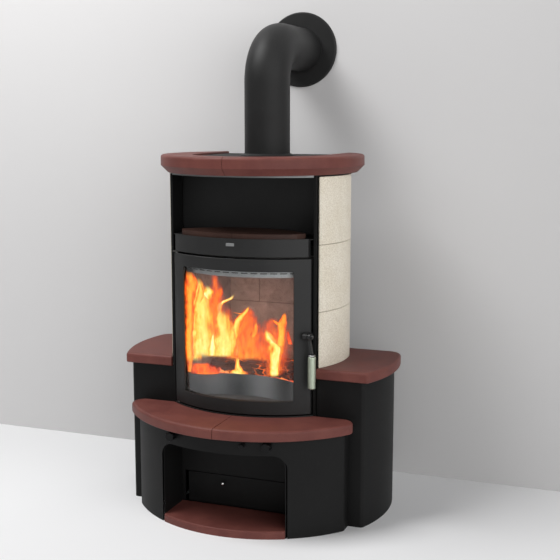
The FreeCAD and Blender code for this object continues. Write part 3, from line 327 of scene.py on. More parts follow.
def fireBrick(look):
    paint = Paint("fireBrick")
    coarse = paint.grain(36.0, 6.0, 0.7)
    fine = paint.grain(520.0, 3.0)
    chips = paint.cells(120.0).over(0.1, 0.5)
    x, y, z = paint.split(paint.where)
    level = abs(z - look["jointZ"]).over(*look["jointHalf"])
    upright = abs(abs(x) - look["jointX"]).over(*look["jointHalf"])
    joints = 1 - level * (1 - (1 - upright) * z.over(look["jointZ"], look["jointZ"] + 0.001))
    colour = paint.ramp(coarse, [(0.3, look["dark"]), (0.5, look["body"]), (0.7, look["light"])])
    soot = paint.grain(6.0, 3.0).over(0.45, 0.75)
    colour = paint.mix(soot * look["sooted"], colour, look["soot"])
    colour = paint.mix(joints * look["jointDark"], colour, look["joint"])
    paint.set(colour=colour, rough=look["rough"] + fine * 0.1, shine=look["shine"])
    return paint.bump(fine * 0.5 + chips * 0.5 + coarse - joints, *look["relief"]).material


castIronLook = {
    "iron": (54, 53, 52), "rust": (92, 62, 46), "rusted": 0.5, "metal": 0.6, "rough": 0.58,
    "relief": (0.6, 0.0009),
}


def castIron(look):
    paint = Paint("castIron")
    lumps = paint.grain(300.0, 4.0, 0.6)
    rust = paint.grain(30.0, 5.0, 0.7).over(0.52, 0.72)
    colour = paint.mix(rust * look["rusted"], look["iron"], look["rust"])
    paint.set(colour=colour, metal=look["metal"], rough=look["rough"] + lumps * 0.2)
    return paint.bump(lumps, *look["relief"]).material


knobPlasticLook = {
    "body": (10, 10, 11), "worn": (20, 20, 21), "wear": 0.5, "rough": 0.48, "shine": 0.2,
    "relief": (0.2, 0.0003),
}


def knobPlastic(look):
    paint = Paint("knobPlastic")
    fine = paint.grain(1500.0, 2.0)
    wear = paint.grain(60.0, 4.0).over(0.5, 0.8)
    colour = paint.mix(wear * look["wear"], look["body"], look["worn"])
    paint.set(colour=colour, rough=look["rough"] + wear * 0.12, shine=look["shine"])
    return paint.bump(fine, *look["relief"]).material


# The pane is a thin mirror veil, so that the fire shows through it
windowGlassLook = {
    "mirror": (0.86, 0.87, 0.87, 1.0), "rough": 0.06, "smear": 0.1, "veil": 0.025, "haze": 0.02,
}


def windowGlass(look):
    paint = Paint("windowGlass")
    haze = paint.grain(7.0, 5.0, 0.65)
    paint.set(colour=look["mirror"], metal=1.0, rough=haze.over(0.5, 0.9) * look["smear"] + look["rough"],
              alpha=look["veil"] + haze.over(0.35, 0.75) * look["haze"])
    return paint.material


ropeFibreLook = {
    "clean": (196, 192, 184), "soiled": (112, 106, 99), "soil": 0.6, "rough": 0.9, "shine": 0.15,
    "relief": (0.6, 0.0006),
}


def ropeFibre(look):
    paint = Paint("ropeFibre")
    yarn = paint.cells(900.0)
    soil = paint.grain(40.0, 4.0).over(0.45, 0.75)
    colour = paint.mix(soil * look["soil"], look["clean"], look["soiled"])
    paint.set(colour=colour, rough=look["rough"], shine=look["shine"])
    return paint.bump(yarn, *look["relief"]).material


charredWoodLook = {
    "char": (26, 19, 16), "wood": (84, 50, 34), "ridge": (136, 86, 58), "ash": (150, 128, 112),
    "ashed": 0.35, "cold": (0.0, 0.0, 0.0, 1.0), "crackGlow": (1.0, 0.16, 0.015, 1.0), "glowPower": 1.6,
    "rough": 0.85, "shine": 0.2, "relief": (0.9, 0.004),
}


def charredWood(look):
    paint = Paint("charredWood")
    ridges = paint.grain(42.0, 6.0, 0.65, (0.5, 3.2, 3.2))
    ash = paint.grain(26.0, 5.0, 0.7).over(0.52, 0.74)
    cracks = 1 - paint.cells(46.0, "DISTANCE_TO_EDGE", "Distance", (0.7, 1.6, 1.6)).over(0.01, 0.09)
    heat = paint.grain(11.0, 3.0).over(0.46, 0.66)
    colour = paint.ramp(ridges, [(0.3, look["char"]), (0.55, look["wood"]), (0.75, look["ridge"])])
    colour = paint.mix(ash * look["ashed"], colour, look["ash"])
    glow = paint.mix(cracks * heat, look["cold"], look["crackGlow"])
    paint.set(colour=colour, rough=look["rough"] + ash * 0.1, glow=glow, glowPower=look["glowPower"],
              shine=look["shine"])
    return paint.bump(ridges - cracks * 0.8, *look["relief"]).material


emberCoalLook = {
    "char": (34, 26, 24), "ash": (126, 116, 108), "glowPower": 1.2, "rough": 0.9, "shine": 0.1,
    "glow": [(0.05, (0.30, 0.025, 0.01, 1.0)), (0.3, (0.52, 0.05, 0.018, 1.0)),
             (0.6, (0.78, 0.10, 0.03, 1.0)), (0.95, (1.0, 0.34, 0.07, 1.0))],
    "relief": (0.8, 0.003),
}


def emberCoal(look):
    paint = Paint("emberCoal")
    heat = paint.grain(24.0, 4.0, 0.6)
    skin = paint.grain(180.0, 4.0, 0.7)
    glow = paint.ramp(heat.over(0.4, 0.6) * (0.35 + skin), look["glow"])
    colour = paint.mix(skin.over(0.45, 0.7), look["char"], look["ash"])
    paint.set(colour=colour, rough=look["rough"], glow=glow, glowPower=look["glowPower"], shine=look["shine"])
    return paint.bump(skin, *look["relief"]).material


flameSheetLook = {
    "sway": (30.0, 30.0, 19.0), "curl": (75.0, 75.0, 42.0), "streak": (120.0, 120.0, 20.0),
    "skin": (0.0, 0.0, 0.0, 1.0), "glowPower": 1.25,
    "glow": [(0.12, (0.55, 0.03, 0.008, 1.0)), (0.3, (0.92, 0.10, 0.015, 1.0)),
             (0.46, (1.0, 0.25, 0.02, 1.0)), (0.62, (1.0, 0.48, 0.05, 1.0)),
             (0.80, (1.0, 0.76, 0.16, 1.0)), (1.0, (1.0, 0.93, 0.48, 1.0))],
}


def flameSheet(look):
    paint = Paint("flameSheet")
    across, up = paint.mapped("flame")
    heat, soft = paint.mapped("heat")
    sway = paint.grain(1.0, 2.0, 0.5, look["sway"]) - 0.5
    curl = paint.grain(1.0, 2.0, 0.5, look["curl"]) - 0.5
    streak = paint.grain(1.0, 3.0, 0.6, look["streak"]) - 0.5
    fromRim = abs(across - 0.5) * 2
    offCentre = abs(across - 0.5 + sway * 0.5 + curl * 0.25) * 2
    body = 1 - offCentre + streak * 0.6
    ends = up.over(0.0, 0.08) * (1 - up.over(0.86, 1.0)) * (1 - fromRim.over(0.7, 1.0))
    hot = heat * (0.42 + body.over(0.05, 0.9) * 0.56) + streak * 0.2 + curl * 0.3 - up * 0.1
    paint.set(colour=look["skin"], rough=1.0, shine=0.0, glow=paint.ramp(hot, look["glow"]),
              glowPower=look["glowPower"],
              alpha=body.over(0.02, 0.45 + soft * 0.75) * ends * (1 - soft * 0.25))
    return paint.material


finishes = {}
for make, looks in ((redGlaze, redGlazeLooks), (stovePaint, stovePaintLooks),
                    (brushedMetal, brushedMetalLooks)):
    for name, look in looks.items():
        finishes[name] = make(name, look)
for make, look in ((creamGlaze, creamGlazeLook), (retainerSteel, retainerSteelLook),
                   (heatedPlate, heatedPlateLook), (fireBrick, fireBrickLook), (castIron, castIronLook),
                   (knobPlastic, knobPlasticLook), (windowGlass, windowGlassLook), (ropeFibre, ropeFibreLook),
                   (charredWood, charredWoodLook), (emberCoal, emberCoalLook), (flameSheet, flameSheetLook)):
    finishes[make.__name__] = make(look)
print("finishes made:", len(finishes))

slotFinish = {
    "cream_tile": "creamGlaze", "red_tile": "redGlaze", "black_steel": "blackPaint",
    "charcoal_steel": "charcoalPaint", "flue_steel": "fluePaint", "plate_steel": "heatedPlate",
    "bright_steel": "brightSteel", "dark_steel": "armPaint", "grip": "gripMetal", "knob": "knobPlastic",
    "window": "windowGlass", "rope": "ropeFibre", "brick": "fireBrick", "grate_iron": "castIron",
}
nodeFinish = {
    # the compartment's back gets the lighter charcoal paint as painted light, where light falls into the bay
    "compartment_back": "charcoalPaint", "trim_strip": "trimSteel", "log_retainer": "retainerSteel",
    "ash_drawer_knob": "knobSteel", "latch_shaft": "armPaint", "latch_cam": "armPaint",
    # the shelf tiles get the darker glaze as painted shade
    "control_bushes": "blackPaint", "shelf_tiles": "shelfGlaze",
}

for part in frame["record"]["subparts"]:
    node = frame["nodes"][part["node"]]
    finish = finishes[nodeFinish.get(part["node"], slotFinish[part["material_slot"]])]
    node.data.materials.clear()
    node.data.materials.append(finish)
print("finishes put on the solids")


def putIn(name, data):
    made = bpy.data.objects.new(name, data)
    scene.collection.objects.link(made)
    return made


def placePiece(name, mesh, finish, body):
    piece = putIn(name, mesh)
    mesh.materials.clear()
    mesh.materials.append(finishes[finish])
    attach(piece, body)
    return piece


def smoothAll(mesh):
    mesh.polygons.foreach_set("use_smooth", [True] * len(mesh.polygons))


def meshOf(name, verts, faces, smooth=False):
    mesh = bpy.data.meshes.new(name)
    mesh.from_pydata(verts, [], faces)
    if smooth:
        smoothAll(mesh)
    return mesh


def gridFaces(rows, columns, closedRows=False, closedColumns=False, flip=False, first=0):  # counts of points
    faces = []
    for row in range(rows if closedRows else rows - 1):
        here = first + row * columns
        there = first + (row + 1) % rows * columns
        for column in range(columns if closedColumns else columns - 1):
            after = (column + 1) % columns
            face = (here + column, here + after, there + after, there + column)
            faces.append((face[0], face[3], face[2], face[1]) if flip else face)
    return faces


def roundedLoop(halfWidth, low, high, corner, steps):  # a rounded rectangle, from its lower right corner
    points = []
    for x, z, first in ((halfWidth - corner, low + corner, -90), (halfWidth - corner, high - corner, 0),
                        (corner - halfWidth, high - corner, 90), (corner - halfWidth, low + corner, 180)):
        for step in range(steps + 1):
            angle = math.radians(first + 90 * step / steps)
            points.append((x + corner * math.cos(angle), z + corner * math.sin(angle)))
    return points


def onFront(radius, axisY, angle, z):  # a place on the stove's round front, angle 0 in the middle
    return radius * math.sin(angle), axisY - radius * math.cos(angle), z


class Grower(Board):  # a Geometry Nodes tree, its inputs named as in the piece's sizes
    def __init__(self, name, inputs):
        super().__init__(bpy.data.node_groups.new(name, "GeometryNodeTree"))
        self.tree.interface.new_socket("Geometry", in_out="INPUT", socket_type="NodeSocketGeometry")
        self.tree.interface.new_socket("Geometry", in_out="OUTPUT", socket_type="NodeSocketGeometry")
        for label, kind in inputs.items():
            self.tree.interface.new_socket(label, in_out="INPUT", socket_type="NodeSocket" + kind)
        self.start = self.tree.nodes.new("NodeGroupInput")
        self.end = self.tree.nodes.new("NodeGroupOutput")

    def given(self, label):
        return Wire(self, self.start.outputs[label])

    def vectors(self, operation, sockets):
        return self.add("ShaderNodeVectorMath", {"operation": operation}, sockets)

    def close(self, shape, finish):
        solid = self.add("GeometryNodeRealizeInstances", None, {0: shape})
        painted = self.add("GeometryNodeSetMaterial", None, {0: solid, "Material": finishes[finish]})
        self.feed(self.end.inputs[0], painted)

    def grow(self, name, seedData, sizes):
        seed = putIn(name + "Seed", seedData)
        growth = seed.modifiers.new("growth", "NODES")
        growth.node_group = self.tree
        for item in self.tree.interface.items_tree:
            if item.in_out == "INPUT" and item.name in sizes:
                growth[item.identifier] = sizes[item.name]
        mesh = bpy.data.meshes.new_from_object(seed.evaluated_get(bpy.context.evaluated_depsgraph_get()))
        seed.modifiers.remove(growth)
        bpy.data.objects.remove(seed)
        return mesh


# Screws with a crossed slot

screwSizes = {
    "headRadius": 0.0042, "headHeight": 0.0024, "slotWidth": 0.0011, "slotDepth": 0.0012, "sides": 20,
    "rings": 8,
}
casingScrews = {"x": 0.219, "lowZ": 0.06, "pitch": 0.196, "count": 6, "y": 0.190}
clipScrews = {"x": 0.110, "radius": 0.3747, "axisY": 0.082, "heights": (0.3878, 0.8202)}


def screwTree():
    tree = Grower("screwRow", {"headRadius": "Float", "headHeight": "Float", "slotWidth": "Float",
                               "slotDepth": "Float", "sides": "Int", "rings": "Int"})
    radius = tree.given("headRadius")
    height = tree.given("headHeight")
    ball = tree.add("GeometryNodeMeshUVSphere", None,
                    {"Segments": tree.given("sides"), "Rings": tree.given("rings"), "Radius": radius})
    flat = tree.add("ShaderNodeCombineXYZ", None, {0: 1.0, 1: 1.0, 2: height / radius})
    dome = tree.add("GeometryNodeTransform", None, {"Geometry": ball, "Scale": flat})
    lift = tree.add("ShaderNodeCombineXYZ", None, {2: height * 1.5 - tree.given("slotDepth")})
    cuts = []
    for across in (0, 1):
        size = tree.add("ShaderNodeCombineXYZ", None,
                        {across: tree.given("slotWidth"), 1 - across: radius * 1.3, 2: height})
        bar = tree.add("GeometryNodeMeshCube", None, {"Size": size})
        cuts.append(tree.add("GeometryNodeTransform", None, {"Geometry": bar, "Translation": lift}))
    cross = tree.add("GeometryNodeMeshBoolean", {"operation": "UNION"}, {1: cuts[0]})
    tree.feed(cross.socket.node.inputs[1], cuts[1])
    head = tree.add("GeometryNodeMeshBoolean", {"operation": "DIFFERENCE"}, {0: dome, 1: cross})
    points = tree.add("GeometryNodeMeshToPoints", None, {"Mesh": tree.given("Geometry")})
    aim = tree.add("GeometryNodeInputNamedAttribute", {"data_type": "FLOAT_VECTOR"}, {"Name": "aim"})
    turn = tree.add("FunctionNodeAlignRotationToVector", {"axis": "Z"}, {"Vector": aim})
    tree.close(tree.add("GeometryNodeInstanceOnPoints", None,
                        {"Points": points, "Instance": head, "Rotation": turn}), "brightSteel")
    return tree


def screwRow(name, places, body):
    seed = meshOf(name + "Seed", [spot for spot, aim in places], [])
    aims = seed.attributes.new("aim", "FLOAT_VECTOR", "POINT")
    for index, (spot, aim) in enumerate(places):
        aims.data[index].vector = aim
    placePiece(name, screwMaker.grow(name, seed, screwSizes), "brightSteel", body)


screwMaker = screwTree()
casingPlaces = []
clipPlaces = []
for side in (-1, 1):
    for step in range(casingScrews["count"]):
        height = casingScrews["lowZ"] + step * casingScrews["pitch"]
        casingPlaces.append(((side * casingScrews["x"], casingScrews["y"], height), (0.0, 1.0, 0.0)))
    swing = math.asin(clipScrews["x"] / clipScrews["radius"])
    clipY = clipScrews["axisY"] - clipScrews["radius"] * math.cos(swing)
    inward = (-side * math.sin(swing), math.cos(swing), 0.0)
    for height in clipScrews["heights"]:
        clipPlaces.append(((side * clipScrews["x"], clipY, height), inward))
screwRow("casing_screws", casingPlaces, "stove")
screwRow("glass_clip_screws", clipPlaces, "door")
print("screws made")

# Twisted sealing rope round the back of the door

ropeSizes = {
    "arcRadius": 0.3662, "axisY": 0.082, "halfWidth": 0.2073, "lowZ": 0.3698, "highZ": 0.8352,
    "corner": 0.014, "cornerSteps": 6, "pathStep": 0.01, "windSteps": 1560, "strandRadius": 0.00205,
    "strandSides": 7, "strandOffset": 0.0023, "twists": 130, "strands": 4,
}


def ropeTree():
    tree = Grower("sealingRope", {"windSteps": "Int", "strandRadius": "Float", "strandSides": "Int",
                                  "strandOffset": "Float", "twists": "Float", "strands": "Int"})
    even = tree.add("GeometryNodeResampleCurve", None,
                    {"Curve": tree.given("Geometry"), "Count": tree.given("windSteps")})
    copies = tree.add("GeometryNodeDuplicateElements", {"domain": "SPLINE"},
                      {"Geometry": even, "Amount": tree.given("strands")})
    share = tree.add("GeometryNodeSplineParameter", out="Factor")
    phase = Wire(tree, copies.socket.node.outputs["Duplicate Index"]) / tree.given("strands")
    turn = (share * tree.given("twists") + phase) * (2 * math.pi)
    normal = tree.add("GeometryNodeInputNormal")
    side = tree.vectors("CROSS_PRODUCT", {0: tree.add("GeometryNodeInputTangent"), 1: normal})
    outNormal = tree.vectors("SCALE", {0: normal, "Scale": turn.maths("COSINE") * tree.given("strandOffset")})
    outSide = tree.vectors("SCALE", {0: side, "Scale": turn.maths("SINE") * tree.given("strandOffset")})
    wound = tree.add("GeometryNodeSetPosition", None,
                     {"Geometry": copies, "Offset": tree.vectors("ADD", {0: outNormal, 1: outSide})})
    strand = tree.add("GeometryNodeCurvePrimitiveCircle", None,
                      {"Resolution": tree.given("strandSides"), "Radius": tree.given("strandRadius")})
    rope = tree.add("GeometryNodeCurveToMesh", None, {"Curve": wound, "Profile Curve": strand})
    tree.close(rope, "ropeFibre")
    return tree


def sealingRope(sizes):
    radius = sizes["arcRadius"]
    halfArc = radius * math.asin(sizes["halfWidth"] / radius)
    flat = roundedLoop(halfArc, sizes["lowZ"], sizes["highZ"], sizes["corner"], sizes["cornerSteps"])
    points = []  # the flat loop, bent round the door
    for here, there in zip(flat, flat[1:] + flat[:1]):
        steps = max(1, round(math.dist(here, there) / sizes["pathStep"]))
        for step in range(steps):
            along = here[0] + (there[0] - here[0]) * step / steps
            height = here[1] + (there[1] - here[1]) * step / steps
            points.append(onFront(radius, sizes["axisY"], along / radius, height))
    path = bpy.data.curves.new("sealingRopePath", "CURVE")
    path.dimensions = "3D"
    line = path.splines.new("POLY")
    line.points.add(len(points) - 1)
    for point, spot in zip(line.points, points):
        point.co = (*spot, 1.0)
    line.use_cyclic_u = True
    mesh = ropeTree().grow("sealing_rope", path, sizes)
    smoothAll(mesh)
    rope = placePiece("sealing_rope", mesh, "ropeFibre", "door")
    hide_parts("door_gasket")


sealingRope(ropeSizes)
print("sealing rope made")

# Bright ring where the arm meets the grip

gripRingSizes = {
    "x": 0.2460, "y": -0.25553, "lowZ": 0.5490, "highZ": 0.5535, "inner": 0.00905, "outer": 0.0102,
    "bevel": 0.0004, "sides": 48,
}


def gripRing(sizes):
    low, high, bevel = sizes["lowZ"], sizes["highZ"], sizes["bevel"]
    inner, outer = sizes["inner"], sizes["outer"]
    profile = [(inner, low), (outer - bevel, low), (outer, low + bevel),
               (outer, high - bevel), (outer - bevel, high), (inner, high)]
    verts = []
    for side in range(sizes["sides"]):
        angle = 2 * math.pi * side / sizes["sides"]
        verts += [(sizes["x"] + reach * math.cos(angle), sizes["y"] + reach * math.sin(angle), z)
                  for reach, z in profile]
    faces = gridFaces(sizes["sides"], len(profile), closedRows=True, closedColumns=True, flip=True)
    placePiece("grip_ring", meshOf("grip_ring", verts, faces), "brightSteel", "handle")


gripRing(gripRingSizes)
print("grip ring made")

# Bare plate on the fascia; its layers give the share of its size and of its thickness

plateSizes = {
    "width": 0.0275, "height": 0.0095, "thickness": 0.0012, "corner": 0.002, "cornerSteps": 4,
    "radius": 0.3890, "axisY": 0.082, "x": -0.004, "z": 0.8910,
    "layers": [(1.0, 0.0), (1.0, 0.7), (0.93, 1.0)],
}


def barePlate(sizes):
    halfHeight = sizes["height"] / 2
    rim = roundedLoop(sizes["width"] / 2, -halfHeight, halfHeight, sizes["corner"], sizes["cornerSteps"])
    verts = []
    for share, lift in sizes["layers"]:
        reach = sizes["radius"] + sizes["thickness"] * lift
        verts += [onFront(reach, sizes["axisY"], (sizes["x"] + across * share) / sizes["radius"],
                          sizes["z"] + up * (1 - (1 - share) * 2)) for across, up in rim]
    count = len(rim)
    faces = gridFaces(len(sizes["layers"]), count, closedColumns=True)
    faces.append(tuple(range(len(verts) - count, len(verts))))
    faces.append(tuple(reversed(range(count))))
    placePiece("fascia_plate", meshOf("fascia_plate", verts, faces), "plateMetal", "stove")


barePlate(plateSizes)
print("bare plate made")

# Pale slotted strip that leads air down behind the glass

airStripSizes = {
    "radius": 0.3613, "axisY": 0.082, "halfWidth": 0.1905, "lowZ": 0.7875, "highZ": 0.8120,
    "thickness": 0.0012, "slots": 13, "slotShare": 0.72, "slotLowZ": 0.7985, "slotHighZ": 0.8020,
    "bendSteps": 4,
}


def airStrip(sizes):
    halfArc = math.asin(sizes["halfWidth"] / sizes["radius"])
    pitch = 2 * halfArc / sizes["slots"]
    web = pitch * (1 - sizes["slotShare"]) / 2
    columns = []  # angle, and whether the stretch after it is slotted
    for slot in range(sizes["slots"]):
        start = -halfArc + slot * pitch
        columns.append((start, False))
        for step in range(sizes["bendSteps"]):
            columns.append((start + web + (pitch - 2 * web) * step / sizes["bendSteps"], True))
        columns.append((start + pitch - web, False))
    columns.append((halfArc, False))
    levels = [sizes["lowZ"], sizes["slotLowZ"], sizes["slotHighZ"], sizes["highZ"]]
    form = bmesh.new()
    grid = [[form.verts.new(onFront(sizes["radius"], sizes["axisY"], angle, z)) for z in levels]
            for angle, slotted in columns]
    for column in range(len(columns) - 1):
        here, there = grid[column], grid[column + 1]
        for level in range(len(levels) - 1):
            if level != 1 or not columns[column][1]:
                form.faces.new((here[level], there[level], there[level + 1], here[level + 1]))
    bmesh.ops.recalc_face_normals(form, faces=form.faces)
    bmesh.ops.solidify(form, geom=form.faces[:], thickness=-sizes["thickness"])
    mesh = bpy.data.meshes.new("air_strip")
    form.to_mesh(mesh)
    form.free()
    placePiece("air_strip", mesh, "zincStrip", "stove")


airStrip(airStripSizes)
print("air strip made")

# Fire: logs, embers and flames on the hearth

logSizes = [
    {"name": "log_front", "start": (-0.158, -0.098, 0.441), "end": (0.066, -0.094, 0.440), "radius": 0.042,
     "shift": (3 * 3.7, 3 * 1.3, 0)},
    {"name": "log_back", "start": (-0.062, 0.016, 0.436), "end": (0.152, -0.026, 0.436), "radius": 0.038,
     "shift": (11 * 3.7, 11 * 1.3, 0)},
]
logDetail = {
    "rings": 60, "segments": 48, "lump": 0.12, "lumpScale": 0.9, "lumpAlong": 3, "bark": 0.08,
    "barkRound": 7, "barkAlong": 5, "crook": 0.3, "crookAlong": 2.2, "endBevel": 0.12, "bevelReach": 4,
    "endBulge": 0.003,
}


def makeLog(sizes):
    start = Vector(sizes["start"])
    span = Vector(sizes["end"]) - start
    along = span.normalized()
    side = along.cross(Vector((0, 0, 1))).normalized()
    rise = side.cross(along)
    shift = Vector(sizes["shift"])
    rings = logDetail["rings"]
    segments = logDetail["segments"]
    verts = []
    for ring in range(rings + 1):
        share = ring / rings
        fromEnd = min(share, 1 - share) * span.length / sizes["radius"]
        taper = 1 - logDetail["endBevel"] * max(0.0, 1 - fromEnd * logDetail["bevelReach"]) ** 2
        bend = noise.noise(Vector((share * logDetail["crookAlong"], 0, 0)) + shift)
        middle = start + along * (share * span.length) + side * (bend * sizes["radius"] * logDetail["crook"])
        for segment in range(segments):
            angle = 2 * math.pi * segment / segments
            cosine, sine = math.cos(angle), math.sin(angle)
            wide = Vector((cosine, sine, share * logDetail["lumpAlong"])) * logDetail["lumpScale"]
            ridge = Vector((cosine * logDetail["barkRound"], sine * logDetail["barkRound"],
                            share * logDetail["barkAlong"]))
            lump = noise.noise(wide + shift) * logDetail["lump"]
            bark = noise.noise(ridge + shift) * logDetail["bark"]
            reach = sizes["radius"] * taper * (1 + lump + bark)
            verts.append(middle + side * (cosine * reach) + rise * (sine * reach))
    faces = gridFaces(rings + 1, segments, closedColumns=True, flip=True)
    for first, out in ((0, -1), (rings * segments, 1)):
        hub = len(verts)
        middle = sum(verts[first:first + segments], Vector()) / segments
        verts.append(middle + along * (out * logDetail["endBulge"]))
        for segment in range(segments):
            pair = (first + segment, first + (segment + 1) % segments)
            faces.append((hub, *pair) if out < 0 else (hub, *reversed(pair)))
    mesh = meshOf(sizes["name"], verts, faces, smooth=True)
    placePiece(sizes["name"], mesh, "charredWood", "stove")


for sizes in logSizes:
    makeLog(sizes)
print("logs made:", len(logSizes))

# Embers lie in heaps behind the curved retainer, highest at its left
emberSizes = {
    "halfWidth": 0.164, "backY": 0.084, "z": 0.4025, "arcRadius": 0.3233, "arcAxisY": -0.4783,
    "frontGap": 0.012, "density": 9000.0, "chunk": 0.0085, "smallest": 0.5, "largest": 1.6, "seed": 8,
    "columns": 28, "rows": 18, "rounding": 2, "dentScale": 90.0, "dent": 0.014,
}
emberHeaps = [  # place, rise, and spread across and in depth
    {"place": (-0.168, -0.190), "rise": 0.062, "spread": (0.050, 0.034)},
    {"place": (-0.095, -0.168), "rise": 0.046, "spread": (0.060, 0.020)},
    {"place": (-0.010, -0.150), "rise": 0.036, "spread": (0.070, 0.014)},
    {"place": (0.085, -0.152), "rise": 0.028, "spread": (0.060, 0.030)},
]


def emberTree():
    tree = Grower("emberBed", {"density": "Float", "chunk": "Float", "smallest": "Float", "largest": "Float",
                               "seed": "Int", "rounding": "Int", "dentScale": "Float", "dent": "Float"})
    seed = tree.given("seed")
    points = tree.add("GeometryNodeDistributePointsOnFaces", None,
                      {"Mesh": tree.given("Geometry"), "Density": tree.given("density"), "Seed": seed})
    chunk = tree.add("GeometryNodeMeshIcoSphere", None,
                     {"Radius": tree.given("chunk"), "Subdivisions": tree.given("rounding")})
    turn = tree.add("FunctionNodeRandomValue", {"data_type": "FLOAT_VECTOR"},
                    {1: (6.28, 6.28, 6.28), "Seed": seed})
    grow = tree.add("FunctionNodeRandomValue", {"data_type": "FLOAT"},
                    {2: tree.given("smallest"), 3: tree.given("largest"), "Seed": seed}, 1)
    scattered = tree.add("GeometryNodeInstanceOnPoints", None,
                         {"Points": points, "Instance": chunk, "Rotation": turn, "Scale": grow})
    solid = tree.add("GeometryNodeRealizeInstances", None, {0: scattered})
    rough = tree.add("ShaderNodeTexNoise", None, {"Scale": tree.given("dentScale"), "Detail": 2.0}, "Color")
    push = tree.vectors("SUBTRACT", {0: rough, 1: (0.5, 0.5, 0.5)})
    push = tree.vectors("SCALE", {0: push, "Scale": tree.given("dent")})
    tree.close(tree.add("GeometryNodeSetPosition", None, {"Geometry": solid, "Offset": push}), "emberCoal")
    return tree


def emberHeight(x, y):
    height = emberSizes["z"]
    for heap in emberHeaps:
        across = (x - heap["place"][0]) / heap["spread"][0]
        deep = (y - heap["place"][1]) / heap["spread"][1]
        height += heap["rise"] * math.exp(-(across ** 2 + deep ** 2))
    return height


def emberBed(sizes):
    columns = sizes["columns"]
    rows = sizes["rows"]
    verts = []
    for column in range(columns + 1):
        x = sizes["halfWidth"] * (2 * column / columns - 1)
        frontY = sizes["arcAxisY"] + math.sqrt(sizes["arcRadius"] ** 2 - x ** 2) + sizes["frontGap"]
        for row in range(rows + 1):
            y = frontY + (sizes["backY"] - frontY) * row / rows
            verts.append((x, y, emberHeight(x, y)))
    seed = meshOf("emberBedSeed", verts, gridFaces(columns + 1, rows + 1, flip=True))
    placePiece("ember_bed", emberTree().grow("ember_bed", seed, sizes), "emberCoal", "stove")


emberBed(emberSizes)
print("embers made")

